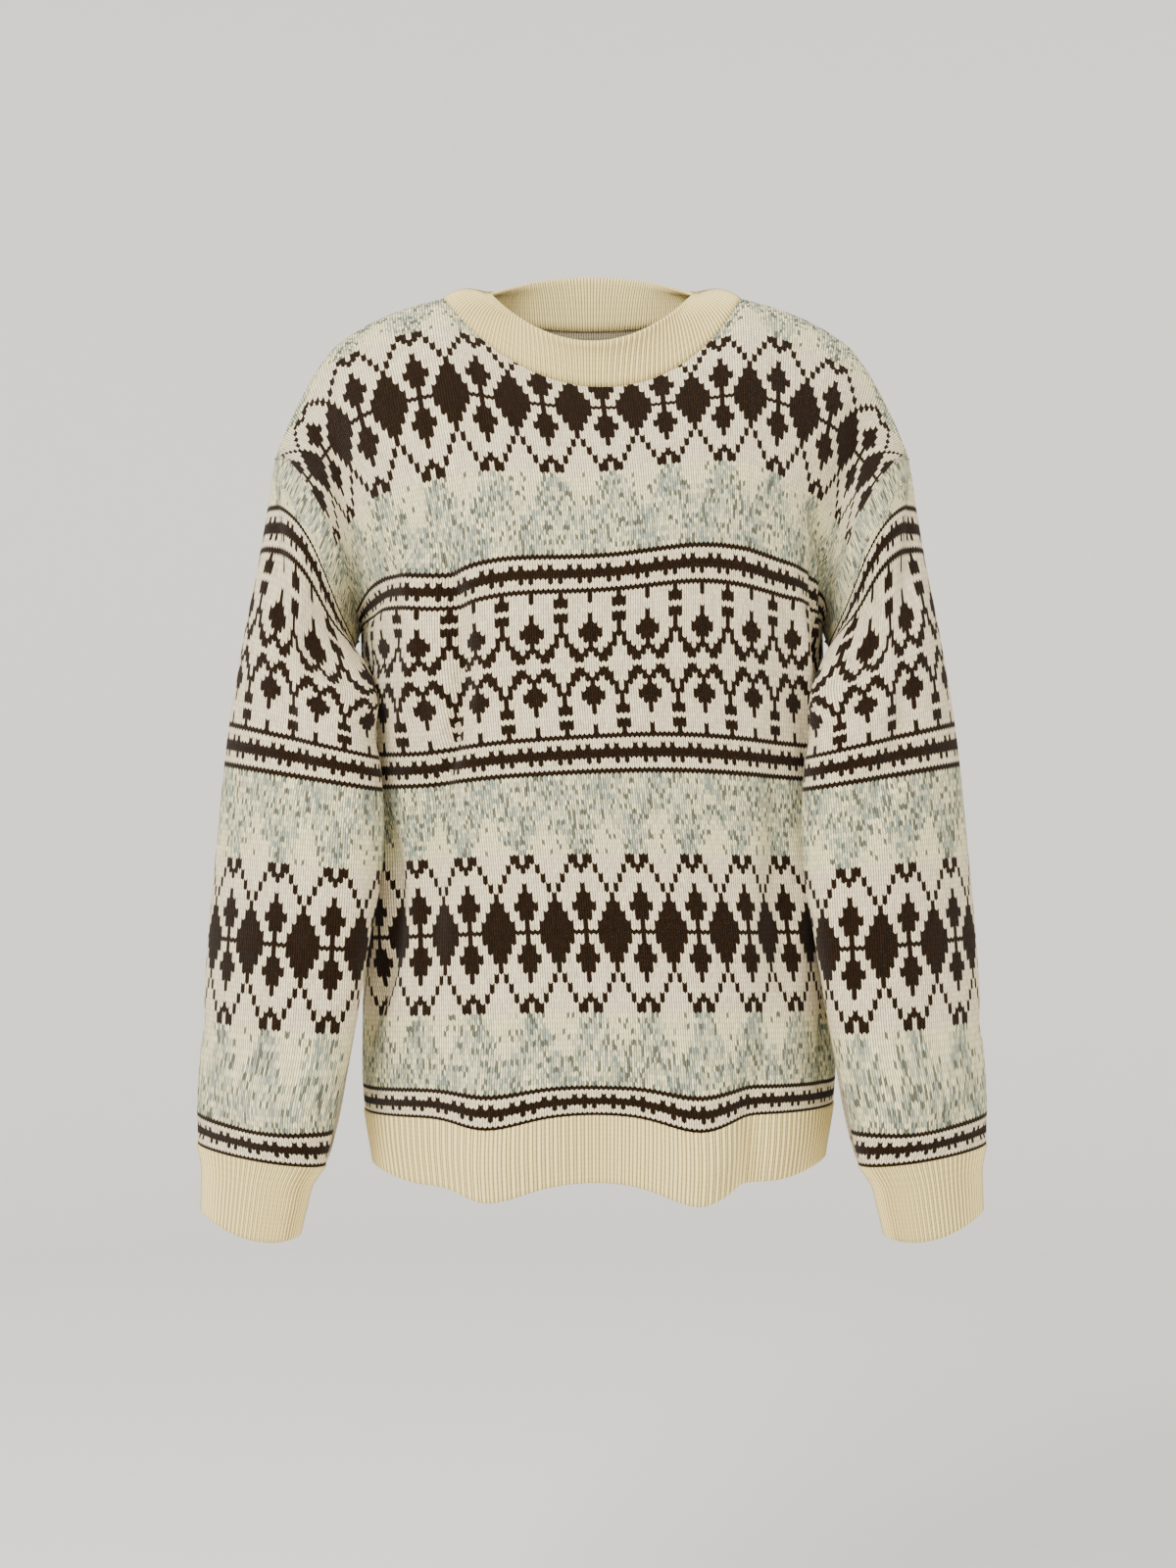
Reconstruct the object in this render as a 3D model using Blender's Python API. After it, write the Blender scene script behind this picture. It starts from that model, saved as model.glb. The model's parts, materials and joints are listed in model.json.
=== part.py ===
# Fair isle sweater: a drop-shoulder crew-neck pullover, knitted in panels and worn by a body.
# Metres, +Z up, the front faces -Y. The origin is the middle of the neck opening at shoulder height.
import bmesh
import bpy
import numpy as np

# Sizes of the garment
WALL = 0.0022  # the two-colour knit is this thick
RIB_RAISE = 0.0007  # how far a rib stands above the wall
EDGE = 73.0  # stitches from the middle of a panel to its side seam
UNDERARM_ROW = 104.0  # rows from the rib to the underarm
TOP_ROW = 184.0  # rows from the rib to the shoulder beside the neck
SHOULDER_DROP_ROWS = 10.0  # rows lost along the shoulder slope
NECK_STITCHES = 29.0  # half of the stitches that the neck takes out of a panel
FLAP_START = 51.0  # the column at which the panel turns from the chest on to the arm
FRONT_NECK_ROWS = 28.5
BACK_NECK_ROWS = 12.5
SLEEVE_ROWS = 128.0
HEM_ROWS = 15.0
HALF_WIDTH = 0.168  # of the body, side to side
RING_POWER = 2.35  # how square the body's section is
SHOULDER_POINT = np.array([0.2265, 0.0, -0.1150])
UNDERARM_POINT = np.array([0.1650, 0.0, -0.2380])
ARMHOLE_BULGE = np.array([-0.0140, 0.0720, 0.0120])
INNER_FORWARD = 0.042  # how far the inner side of a sleeve lies in front of its outer side
BODY_CLEARANCE = 0.0035  # between a sleeve and the body
NECK_STEPS = 10  # columns of faces below the neck
SIDE_STEPS = {-1: 8, 1: 7}  # columns of faces on each side of it, on the front and the back
BODY_STEPS = 13  # rows of faces below the underarm
YOKE_STEPS = 13  # rows of faces above it, shared by the sleeve's top edge
NECK_PARTS = 6  # points of the neckband for each step of the panels' edge

# Columns: row from the rib, height, front depth, back depth, width factor
LEVELS = [
    (-15.0, -0.6130, 0.121, 0.118, 0.955),
    (-8.0, -0.5915, 0.122, 0.118, 0.975),
    (0.0, -0.5680, 0.121, 0.117, 0.990),
    (8.0, -0.5470, 0.121, 0.116, 1.000),
    (22.0, -0.4980, 0.120, 0.113, 1.000),
    (55.0, -0.3920, 0.118, 0.104, 0.985),
    (79.0, -0.3150, 0.121, 0.103, 0.985),
    (104.0, -0.2316, 0.125, 0.105, 0.982),
]

# Columns: distance out from the neck, height
SHOULDER_LINE = [
    (0.1060, 0.0000),
    (0.1375, -0.0090),
    (0.1660, -0.0222),
    (0.1840, -0.0350),
    (0.1970, -0.0503),
    (0.2080, -0.0688),
    (0.2180, -0.0898),
    (0.2265, -0.1150),
]

# Columns: place round the body from the front middle, half width, depth, height where it starts,
# height where it is full, how far it pulls the cloth down
FOLDS = [
    (-0.076, 0.046, 0.016, -0.50, -0.60, 0.010),
    (0.068, 0.044, 0.017, -0.50, -0.60, 0.013),
    (-0.003, 0.032, -0.007, -0.52, -0.60, 0.000),
    (0.112, 0.018, -0.007, -0.53, -0.60, 0.000),
    (-0.128, 0.020, -0.006, -0.26, -0.36, 0.000),
    (0.138, 0.022, -0.007, -0.27, -0.40, 0.000),
    (0.330, 0.044, 0.012, -0.49, -0.60, 0.008),
    (0.420, 0.040, -0.007, -0.50, -0.60, 0.000),
    (0.500, 0.046, 0.013, -0.48, -0.60, 0.009),
    (0.400, 0.026, -0.006, -0.27, -0.40, 0.000),
    (0.560, 0.026, -0.006, -0.28, -0.42, 0.000),
]

# Columns: row from the cuff, outer x, outer z, inner x, inner z, middle y, half depth
SLEEVE_STATIONS = [
    (120.0, 0.2300, -0.1420, 0.1680, -0.2480, -0.004, 0.0715),
    (112.0, 0.2330, -0.1720, 0.1690, -0.2600, -0.012, 0.0650),
    (94.0, 0.2435, -0.2420, 0.1560, -0.2880, -0.034, 0.0545),
    (79.0, 0.2530, -0.3010, 0.1460, -0.3260, -0.039, 0.0480),
    (55.0, 0.2625, -0.3940, 0.1450, -0.4040, -0.042, 0.0440),
    (38.0, 0.2675, -0.4520, 0.1530, -0.4590, -0.044, 0.0410),
    (22.0, 0.2715, -0.5080, 0.1620, -0.5140, -0.044, 0.0390),
    (8.0, 0.2755, -0.5720, 0.1760, -0.5800, -0.043, 0.0400),
    (0.0, 0.2750, -0.5960, 0.1820, -0.6060, -0.042, 0.0385),
]
CUFF_STATIONS = [
    (0.00, 0.2750, -0.5960, 0.1820, -0.6060, -0.042, 0.0385),
    (0.18, 0.2725, -0.6080, 0.1890, -0.6160, -0.042, 0.0360),
    (0.60, 0.2720, -0.6280, 0.1955, -0.6380, -0.042, 0.0340),
    (1.00, 0.2725, -0.6450, 0.1995, -0.6560, -0.042, 0.0335),
]

# Columns: row from the cuff, place round the sleeve in turns from the outside towards the front,
# half width in turns, depth, half height in rows
SLEEVE_FOLDS = [
    (98.0, 0.30, 0.07, -0.008, 24.0),
    (103.0, 0.43, 0.08, 0.014, 13.0),
    (84.0, 0.20, 0.09, -0.005, 22.0),
    (104.0, 0.62, 0.10, -0.009, 24.0),
    (60.0, 0.56, 0.10, 0.004, 22.0),
    (9.0, 0.28, 0.10, 0.006, 9.0),
    (12.0, 0.72, 0.10, 0.005, 9.0),
]

# Colours
CREAM = (0.80, 0.70, 0.56)
GROUND = (0.76, 0.68, 0.60)


def smooth(x):
    """0 below 0, 1 above 1, soft between."""
    x = np.clip(x, 0.0, 1.0)
    return x * x * (3.0 - 2.0 * x)


def column(table, at, index):
    """A column of a table, read smoothly at a value of its first column."""
    xs = np.array([row[0] for row in table])
    ys = np.array([row[index] for row in table])
    order = np.argsort(xs)
    xs = xs[order]
    ys = ys[order]
    slopes = np.gradient(ys, xs)
    at = np.clip(at, xs[0], xs[-1])
    i = np.clip(np.searchsorted(xs, at) - 1, 0, len(xs) - 2)
    h = xs[i + 1] - xs[i]
    t = (at - xs[i]) / h
    a = (1 + 2 * t) * (1 - t) ** 2 * ys[i] + t * (1 - t) ** 2 * h * slopes[i]
    b = t * t * (3 - 2 * t) * ys[i + 1] + t * t * (t - 1) * h * slopes[i + 1]
    return a + b


# The body below the underarms: one ring a row


def quarter_arc(wide, deep, steps=160):
    """Angle against distance along a quarter of the body's section, from its middle to its side."""
    angle = np.linspace(0.0, np.pi / 2, steps)
    x = wide * np.sin(angle) ** (2 / RING_POWER)
    y = deep * np.cos(angle) ** (2 / RING_POWER)
    length = np.concatenate([[0.0], np.cumsum(np.hypot(np.diff(x), np.diff(y)))])
    return length / length[-1], x, y, length[-1]


ARCS = {}


def arcs_at(row):
    """Front and back quarter sections of a row, kept once they are worked out."""
    key = round(float(row), 2)
    if key not in ARCS:
        wide = HALF_WIDTH * float(column(LEVELS, key, 4))
        front = quarter_arc(wide, float(column(LEVELS, key, 2)))
        back = quarter_arc(wide, float(column(LEVELS, key, 3)))
        ARCS[key] = (front, back)
    return ARCS[key]


def on_ring(place, row):
    """The plan position of a place round the body. 0 is the front middle, 1 the right seam, 2 the back
    middle and 3 the left seam."""
    front, back = arcs_at(row)
    place = (place + 2.0) % 4.0 - 2.0
    side = 1.0 if place >= 0 else -1.0
    part = abs(place)
    if part <= 1.0:
        share, x, y, _ = front
        return side * np.interp(part, share, x), -np.interp(part, share, y)
    share, x, y, _ = back
    part = 2.0 - part
    return side * np.interp(part, share, x), np.interp(part, share, y)


def turned(u, row, face):
    """A place round the body for a place across a panel, -1 to 1, after the body's slight turn."""
    low = smooth((UNDERARM_ROW - row) / UNDERARM_ROW)
    place = u if face < 0 else 2.0 - u
    centred = 0.075 * (1.0 - u * u)
    return place + (centred if face < 0 else 0.3 * centred) + 0.075 * low


def body_lean(z):
    """The lower body hangs a little to the wearer's left."""
    return 0.005 * smooth((-z - 0.20) / 0.25)


def ring_point(u, row, face):
    """A point of the body's outer face on a row at or below the underarm."""
    place = turned(u, row, face)
    x, y = on_ring(place, row)
    z = float(column(LEVELS, row, 1))
    sag = (0.009 if x < 0 else 0.004) * (x / HALF_WIDTH) ** 2
    z -= sag
    z += 0.010 * smooth((0.0 - row) / 15.0 + 0.2) * smooth((abs(x) - 0.12) / 0.05)
    out = np.array([x / HALF_WIDTH**2, y / 0.12**2])
    out /= max(np.hypot(*out), 1e-9)
    around = (place % 4.0) * 0.2475
    for middle, half, depth, start, full, dip in FOLDS:
        apart = abs((around - middle % 0.99 + 0.495) % 0.99 - 0.495)
        if apart < half * 2:
            shape = np.exp(-2.2 * (apart / half) ** 2)
            grow = smooth((start - z) / (start - full))
            if start > -0.4:
                grow *= 1.0 - smooth((-0.44 - z) / 0.08)
            x += out[0] * depth * shape * grow
            y += out[1] * depth * shape * grow
            z -= dip * shape * grow
    return np.array([x + body_lean(z), y, z])


# The yoke above the underarms: each column of stitches rises to the shoulder line


def shoulder_point(c, face):
    """Where a column of stitches meets the shoulder seam, or would without the neck."""
    side = 1.0 if c >= 0 else -1.0
    c = abs(c)
    if c <= NECK_STITCHES:
        share = c / NECK_STITCHES
        dip = 0.030 if face < 0 else 0.004
        return np.array([side * 0.106 * share, 0.0, -dip * (1.0 - share**2)])
    xs = np.array([p[0] for p in SHOULDER_LINE])
    zs = np.array([p[1] for p in SHOULDER_LINE])
    length = np.concatenate([[0.0], np.cumsum(np.hypot(np.diff(xs), np.diff(zs)))])
    at = (c - NECK_STITCHES) / (EDGE - NECK_STITCHES) * length[-1]
    table_x = list(zip(length, xs))
    table_z = list(zip(length, zs))
    return np.array([side * float(column(table_x, at, 1)), 0.0, float(column(table_z, at, 1))])


def top_row(c):
    """The row at which a column ends at the shoulder."""
    return TOP_ROW - SHOULDER_DROP_ROWS * max(0.0, abs(c) - NECK_STITCHES) / (EDGE - NECK_STITCHES)


def neck_row(c, face):
    """The row at which a column ends at the neck."""
    share = min(1.0, abs(c) / NECK_STITCHES)
    if face < 0:
        return TOP_ROW - FRONT_NECK_ROWS * (1.0 - share**2) ** 0.52
    return TOP_ROW - BACK_NECK_ROWS * (1.0 - share**2) ** 0.5


def last_row(c, face):
    """The top row of a column on the finished panel."""
    if abs(c) < NECK_STITCHES:
        return neck_row(c, face)
    return top_row(c)


def armhole_point(share, side, face):
    """The armhole seam, from the underarm at 0 to the shoulder at 1."""
    turn = np.pi * (1.0 - np.clip(share, 0.001, 0.999))
    middle = (SHOULDER_POINT + UNDERARM_POINT) / 2
    half = (SHOULDER_POINT - UNDERARM_POINT) / 2
    bulge = ARMHOLE_BULGE * np.array([1.0, face, 1.0])
    out = np.sin(turn)
    forward = out ** (1.0 + 0.8 * smooth((0.45 - share) / 0.35))
    inward = out * (0.35 + 0.65 * smooth((share - 0.1) / 0.45))
    p = middle + half * np.cos(turn) + bulge * np.array([inward, forward, out])
    return p * np.array([side, 1.0, 1.0])


def wale_point(c, share, face):
    """A point of a column that rises from the underarm row to the shoulder line, at a share of its way."""
    low = ring_point(c / EDGE, UNDERARM_ROW, face)
    high = shoulder_point(c, face)
    rise = high[2] - low[2]
    run = abs(low[1] - high[1])
    angle = np.linspace(0.0, np.pi / 2, 60)
    power = 2.0 if face < 0 else 2.25
    ys = run * np.cos(angle) ** (2 / power)
    zs = rise * np.sin(angle) ** (2 / power)
    length = np.concatenate([[0.0], np.cumsum(np.hypot(np.diff(ys), np.diff(zs)))])
    at = np.interp(share * length[-1], length, angle)
    x = low[0] + (high[0] - low[0]) * smooth(share) ** 1.15
    return np.array([x, face * np.interp(at, angle, ys), low[2] + np.interp(at, angle, zs)])


def yoke_point(c, row, face):
    """A point of the outer face above the underarm row."""
    side = 1.0 if c >= 0 else -1.0
    share = np.clip((row - UNDERARM_ROW) / (top_row(c) - UNDERARM_ROW), 0.0, 1.0)
    beyond = max(0.0, abs(c) - FLAP_START)
    held = min(abs(c), FLAP_START) + 5.0 * np.tanh(beyond / 8.0)
    p = wale_point(side * held, share, face)
    edge = (beyond / (EDGE - FLAP_START)) ** 1.4
    top = wale_point(side * abs(c), share, face)
    near_top = smooth((share - 0.55) / 0.45)
    p = p * (1.0 - near_top) + top * near_top
    p = p * (1.0 - edge) + armhole_point(share, side, face) * edge
    groove = np.exp(-(((abs(c) - 57.0) / 5.5) ** 2)) * np.sin(np.pi * share) ** 0.8
    groove *= smooth((share - 0.35) / 0.3)
    p[1] -= face * 0.0085 * groove
    return p


def panel_point(c, row, face):
    """A point of the outer face of the front (face -1) or the back (face 1)."""
    c = float(np.clip(c, -EDGE, EDGE))
    if row >= UNDERARM_ROW:
        return yoke_point(c, row, face)
    p = ring_point(c / EDGE, row, face)
    lift = yoke_point(c, UNDERARM_ROW, face) - ring_point(c / EDGE, UNDERARM_ROW, face)
    return p + lift * smooth((row - 70.0) / 34.0)


# Walls


def grid_normals(points):
    """Outward normals of a grid of points, taken from its neighbours."""
    down = np.gradient(points, axis=0)
    along = np.gradient(points, axis=1)
    n = np.cross(along, down)
    return n / np.maximum(np.linalg.norm(n, axis=2, keepdims=True), 1e-12)


def wall_mesh(name, outer, inner, closed, colour):
    """A wall between two grids of points, rows by columns, closed round its edges."""
    rows, cols = outer.shape[:2]
    mesh = bpy.data.meshes.new(name)
    bm = bmesh.new()
    out = [[bm.verts.new(outer[i, j]) for j in range(cols)] for i in range(rows)]
    ins = [[bm.verts.new(inner[i, j]) for j in range(cols)] for i in range(rows)]
    span = cols if closed else cols - 1
    for i in range(rows - 1):
        for j in range(span):
            k = (j + 1) % cols
            bm.faces.new((out[i][j], out[i][k], out[i + 1][k], out[i + 1][j]))
            bm.faces.new((ins[i][j], ins[i + 1][j], ins[i + 1][k], ins[i][k]))
    for j in range(span):
        k = (j + 1) % cols
        bm.faces.new((out[0][k], out[0][j], ins[0][j], ins[0][k]))
        bm.faces.new((out[-1][j], out[-1][k], ins[-1][k], ins[-1][j]))
    if not closed:
        for i in range(rows - 1):
            bm.faces.new((out[i][0], out[i + 1][0], ins[i + 1][0], ins[i][0]))
            bm.faces.new((out[i + 1][-1], out[i][-1], ins[i][-1], ins[i + 1][-1]))
    bmesh.ops.recalc_face_normals(bm, faces=bm.faces)
    if bm.calc_volume(signed=True) < 0:
        bmesh.ops.reverse_faces(bm, faces=bm.faces)
    bmesh.ops.triangulate(bm, faces=bm.faces)
    bm.to_mesh(mesh)
    bm.free()
    for polygon in mesh.polygons:
        polygon.use_smooth = True
    made = bpy.data.objects.new(name, mesh)
    bpy.context.scene.collection.objects.link(made)
    material = bpy.data.materials.new(name + "_knit")
    material.use_nodes = True
    shader = material.node_tree.nodes["Principled BSDF"]
    shader.inputs["Base Color"].default_value = (*colour, 1.0)
    shader.inputs["Roughness"].default_value = 0.9
    mesh.materials.append(material)
    return made


def seam_direction(p, side):
    """At an armhole both walls go in towards the middle of the opening."""
    middle = (SHOULDER_POINT + UNDERARM_POINT) / 2 * np.array([side, 1.0, 1.0])
    d = middle - p
    return d / np.linalg.norm(d)


def mix(a, b, share):
    """A direction between two others."""
    n = a * (1.0 - share) + b * share
    return n / np.linalg.norm(n)


def level(n):
    """The same direction without its height."""
    flat = np.array([n[0], n[1], 0.0])
    return flat / np.linalg.norm(flat)


def panel_columns(face):
    """The columns of stitches along which a panel's points lie."""
    sides = SIDE_STEPS[int(face)]
    neck = NECK_STITCHES * np.sin(np.linspace(-np.pi / 2, np.pi / 2, NECK_STEPS + 1))
    right = np.linspace(NECK_STITCHES, EDGE, sides + 1)[1:]
    return np.concatenate([-right[::-1], neck, right])


def panel_grid(face):
    """The outer points of the front or the back, rows by columns."""
    cs = panel_columns(face)
    body_rows = list(np.linspace(0.06, UNDERARM_ROW, BODY_STEPS + 1))
    shares = np.linspace(0.0, 1.0, YOKE_STEPS + 1)[1:]
    outer = np.zeros((BODY_STEPS + 1 + YOKE_STEPS, len(cs), 3))
    for j, c in enumerate(cs):
        end = last_row(c, face) - 0.06
        rows = body_rows + [UNDERARM_ROW + s * (end - UNDERARM_ROW) for s in shares]
        for i, row in enumerate(rows):
            inset = np.sign(c) * 0.06 if abs(c) == EDGE and i < BODY_STEPS else 0.0
            outer[i, j] = panel_point(c - inset, row, face)
    return outer


def panel_normals(outer, face):
    """Outward directions of a panel's points, shared with its neighbours at each seam."""
    cs = panel_columns(face)
    normals = grid_normals(outer)
    if normals[3, len(cs) // 2, 1] * face < 0:
        normals = -normals
    for j, side in ((0, -1.0), (len(cs) - 1, 1.0)):
        for i in range(len(outer)):
            if i <= BODY_STEPS:
                normals[i, j] = (side, 0.0, 0.0)
            else:
                share = smooth((i - BODY_STEPS) / YOKE_STEPS / 0.3 - 0.3)
                normals[i, j] = mix(normals[i, j], -seam_direction(outer[i, j], side), share)
    for j, c in enumerate(cs):
        normals[0, j] = level(normals[0, j])
        if abs(c) > NECK_STITCHES - 0.1:
            n = normals[-1, j] * np.array([1.0, 0.0, 1.0])
            normals[-1, j] = n / np.linalg.norm(n)
    return normals


def build_panel(name, face):
    """The front or the back, from the rib to the shoulders and the neck."""
    outer = panel_grid(face)
    inner = outer - panel_normals(outer, face) * WALL
    return wall_mesh(name, outer, inner, False, GROUND)


# Ribs


def divided(points, parts):
    """Points along the straight steps of a line, each step cut into equal parts."""
    steps = [points[i] + (points[i + 1] - points[i]) * k / parts for i in range(len(points) - 1) for k in range(parts)]
    return np.array(steps + [points[-1]])


def build_hem(name, face):
    """The rib below a panel, with raised ribs on its outer face."""
    parts = 4
    cs = divided(panel_columns(face), parts)
    cs[0] += 0.06
    cs[-1] -= 0.06
    edge = divided(panel_grid(face)[0], parts) - np.array([0.0, 0.0, 0.0004])
    low = [[panel_point(c, row, face) for c in cs] for row in (-7.5, -HEM_ROWS)]
    base = np.concatenate([edge[None], np.array(low)])
    normals = grid_normals(base)
    if normals[1, len(cs) // 2, 1] * face < 0:
        normals = -normals
    normals[0] = [level(n) for n in normals[0]]
    normals[:, 0] = (-1.0, 0.0, 0.0)
    normals[:, -1] = (1.0, 0.0, 0.0)
    raise_by = np.where(np.arange(len(cs)) % 2 == 1, RIB_RAISE, 0.0)
    outer = base + normals * raise_by[None, :, None]
    inner = base - normals * WALL
    return wall_mesh(name, outer, inner, False, CREAM)


def neck_edge():
    """The panels' edge round the neck, over the front and then the back, with its outward directions."""
    found = []
    for face in (-1.0, 1.0):
        grid = panel_grid(face)
        inside = np.abs(panel_columns(face)) <= NECK_STITCHES + 0.01
        found.append((grid[-1][inside], panel_normals(grid, face)[-1][inside]))
    front, front_out = found[0]
    back, back_out = found[1][0][::-1], found[1][1][::-1]
    front[0] = (front[0] + back[-1]) / 2
    front[-1] = (front[-1] + back[0]) / 2
    return np.concatenate([front, back[1:-1]]), np.concatenate([front_out, back_out[1:-1]])


def neck_inner(low):
    """The free edge of the neckband above a point of its sewn edge."""
    angle = np.arctan2(low[0], -(low[1] + 0.016))
    front = max(0.0, np.cos(angle))
    back = max(0.0, -np.cos(angle))
    x = 0.0725 * np.sin(angle)
    y = -0.0840 * front**1.1 + 0.044 * back**1.1 - 0.004
    z = 0.003 - 0.048 * front**1.7 + 0.019 * back**1.4
    return np.array([x, y, z])


def build_neckband(name):
    """The crew neckband: sewn to the neck and standing in and up from it."""
    edge, out = neck_edge()
    low = divided(np.concatenate([edge, edge[:1]]), NECK_PARTS)[:-1]
    low_out = divided(np.concatenate([out, out[:1]]), NECK_PARTS)[:-1]
    high = np.array([neck_inner(p) for p in low])
    base = []
    for share in (0.0, 0.4, 1.0):
        ring = low + (high - low) * max(share, 0.016)
        ring[:, 2] += 0.0050 * np.sin(np.pi * min(1.0, share * 1.1)) ** 0.9
        base.append(ring)
    base = np.array(base)
    wrapped = np.concatenate([base[:, -1:], base, base[:, :1]], axis=1)
    normals = grid_normals(wrapped)[:, 1:-1]
    if normals[1, len(edge) // 4, 1] > 0:
        normals = -normals
    normals[0] = low_out / np.linalg.norm(low_out, axis=1, keepdims=True)
    raise_by = np.where(np.arange(len(low)) % 2 == 1, RIB_RAISE, 0.0)
    outer = base + normals * raise_by[None, :, None]
    inner = base - normals * WALL
    return wall_mesh(name, outer, inner, True, CREAM)


# Sleeves


def sleeve_ring_point(stations, at, turn, side):
    """A point of a sleeve. turn runs from 0 at the outside through the front, the inside and the back."""
    outer_x = float(column(stations, at, 1))
    outer_z = float(column(stations, at, 2))
    inner_x = float(column(stations, at, 3))
    inner_z = float(column(stations, at, 4))
    middle_y = float(column(stations, at, 5))
    half_depth = float(column(stations, at, 6))
    angle = 2 * np.pi * turn
    across = np.cos(angle)
    deep = np.sin(angle)
    mid = np.array([(outer_x + inner_x) / 2, middle_y, (outer_z + inner_z) / 2])
    half = np.array([(outer_x - inner_x) / 2, 0.0, (outer_z - inner_z) / 2])
    p = mid + half * across + np.array([0.0, -half_depth * deep, 0.0])
    p[1] += INNER_FORWARD * (across - 1.0) / 2 * (1.0 - smooth((at - 82.0) / 28.0))
    return p * np.array([side, 1.0, 1.0])


def body_side(y, z, side):
    """How far out the body reaches beside a point, as a plain section."""
    row = float(np.interp(z, [p[1] for p in LEVELS], [p[0] for p in LEVELS]))
    wide = HALF_WIDTH * float(column(LEVELS, row, 4))
    deep = float(column(LEVELS, row, 2 if y < 0 else 3))
    share = min(1.0, abs(y) / deep)
    reach = wide * (1.0 - share**RING_POWER) ** (1 / RING_POWER)
    return reach + side * body_lean(z)


def beside_body(p, side):
    """Moves a point of a sleeve out where it would touch the body."""
    limit = body_side(p[1], p[2], side) + BODY_CLEARANCE
    over = (p[0] * side - limit) / 0.004
    moved = limit + 0.004 * np.log1p(np.exp(np.clip(over, -40, 40)))
    fade = smooth((-0.238 - p[2]) / 0.03)
    out = max(p[0] * side, moved * fade + p[0] * side * (1.0 - fade))
    return np.array([side * out, p[1], p[2]])


def sleeve_point(row, turn, side):
    """The sleeve's outer face, from the cuff at row 0 to the armhole seam at row 128."""
    turn = turn % 1.0
    low = sleeve_ring_point(SLEEVE_STATIONS, min(row, 120.0), turn, side)
    face = -1.0 if turn <= 0.5 else 1.0
    share = 1.0 - (turn if turn <= 0.5 else 1.0 - turn) * 2.0
    rim = armhole_point(share, side, face)
    blend = smooth((row - 96.0) / (SLEEVE_ROWS - 96.0))
    top = smooth((row - 120.0) / 8.0)
    p = low * (1.0 - max(top, 0.55 * blend)) + rim * max(top, 0.55 * blend)
    if row >= SLEEVE_ROWS:
        p = rim
    for at, place, half, depth, tall in SLEEVE_FOLDS:
        apart = abs((turn - place + 0.5) % 1.0 - 0.5)
        shape = np.exp(-2.0 * (apart / half) ** 2) * np.exp(-2.0 * ((row - at) / tall) ** 2)
        fade = 1.0 - smooth((row - 108.0) / 18.0)
        middle = sleeve_axis(row, side)
        out = p - middle
        out /= max(np.linalg.norm(out), 1e-9)
        p = p + out * depth * shape * fade
    return beside_body(p, side)


def sleeve_axis(row, side):
    """The middle of the sleeve at a row."""
    row = min(row, 120.0)
    x = (column(SLEEVE_STATIONS, row, 1) + column(SLEEVE_STATIONS, row, 3)) / 2
    z = (column(SLEEVE_STATIONS, row, 2) + column(SLEEVE_STATIONS, row, 4)) / 2
    return np.array([side * float(x), float(column(SLEEVE_STATIONS, row, 5)), float(z)])


def sleeve_turns():
    """Places round a sleeve: those of the front armhole edge, then those of the back."""
    return np.arange(2 * YOKE_STEPS) / (2 * YOKE_STEPS)


def ring_normals(base, side):
    """Outward directions of closed rings of points."""
    wrapped = np.concatenate([base[:, -1:], base, base[:, :1]], axis=1)
    normals = grid_normals(wrapped)[:, 1:-1]
    if normals[1, 0, 0] * side < 0:
        normals = -normals
    return normals


def sleeve_grid(side):
    """The outer points of a sleeve, rings by places."""
    rows = [SLEEVE_ROWS, 123.0, 117.0, 110.0, 102.0, 93.0, 83.0, 72.0, 60.0, 47.0, 34.0, 22.0, 10.0, 0.06]
    base = np.array([[sleeve_point(row, turn, side) for turn in sleeve_turns()] for row in rows])
    base[0] += np.array([side * 0.00035, 0.0, -0.00040])
    return base


def build_sleeve(name, side):
    """A straight-topped sleeve, from just below the armhole seam to the cuff."""
    base = sleeve_grid(side)
    normals = ring_normals(base, side)
    for j, turn in enumerate(sleeve_turns()):
        share = abs(1.0 - 2.0 * turn)
        normals[0, j] = mix(normals[0, j], -seam_direction(base[0, j], side), smooth(share / 0.3 - 0.3))
        normals[-1, j] = level(normals[-1, j])
    inner = base - normals * WALL
    return wall_mesh(name, base, inner, True, GROUND)


def build_cuff(name, side):
    """A ribbed cuff below the sleeve."""
    top = sleeve_grid(side)[-1]
    top = divided(np.concatenate([top, top[:1]]), 2)[:-1] - np.array([0.0, 0.0, 0.0004])
    turns = np.arange(len(top)) / len(top)
    rings = [top]
    for share in (0.35, 1.0):
        ring = np.array([sleeve_ring_point(CUFF_STATIONS, share, turn, side) for turn in turns])
        ring[:, 2] -= 0.003 * share * np.cos(4 * np.pi * (turns - 0.27))
        rings.append(ring)
    base = np.array(rings)
    normals = ring_normals(base, side)
    normals[0] = [level(n) for n in normals[0]]
    raise_by = np.where(np.arange(len(top)) % 2 == 1, RIB_RAISE, 0.0)
    outer = base + normals * raise_by[None, :, None]
    inner = base - normals * WALL
    return wall_mesh(name, outer, inner, True, CREAM)


def main():
    for old in list(bpy.data.objects):
        bpy.data.objects.remove(old, do_unlink=True)
    build_panel("front_panel", -1.0)
    build_panel("back_panel", 1.0)
    build_sleeve("sleeve_left", -1.0)
    build_sleeve("sleeve_right", 1.0)
    build_neckband("neckband")
    build_hem("hem_rib_front", -1.0)
    build_hem("hem_rib_back", 1.0)
    build_cuff("cuff_left", -1.0)
    build_cuff("cuff_right", 1.0)


main()
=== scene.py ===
# %% [markdown]
# # A fair isle sweater
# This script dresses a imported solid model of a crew-neck pullover in real knitting. The solids say
# where each piece lies. Here every piece gets its stitches, its yarn colours and its soft creases,
# and then a plain room, some lamps and a camera.

import json
import math

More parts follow.
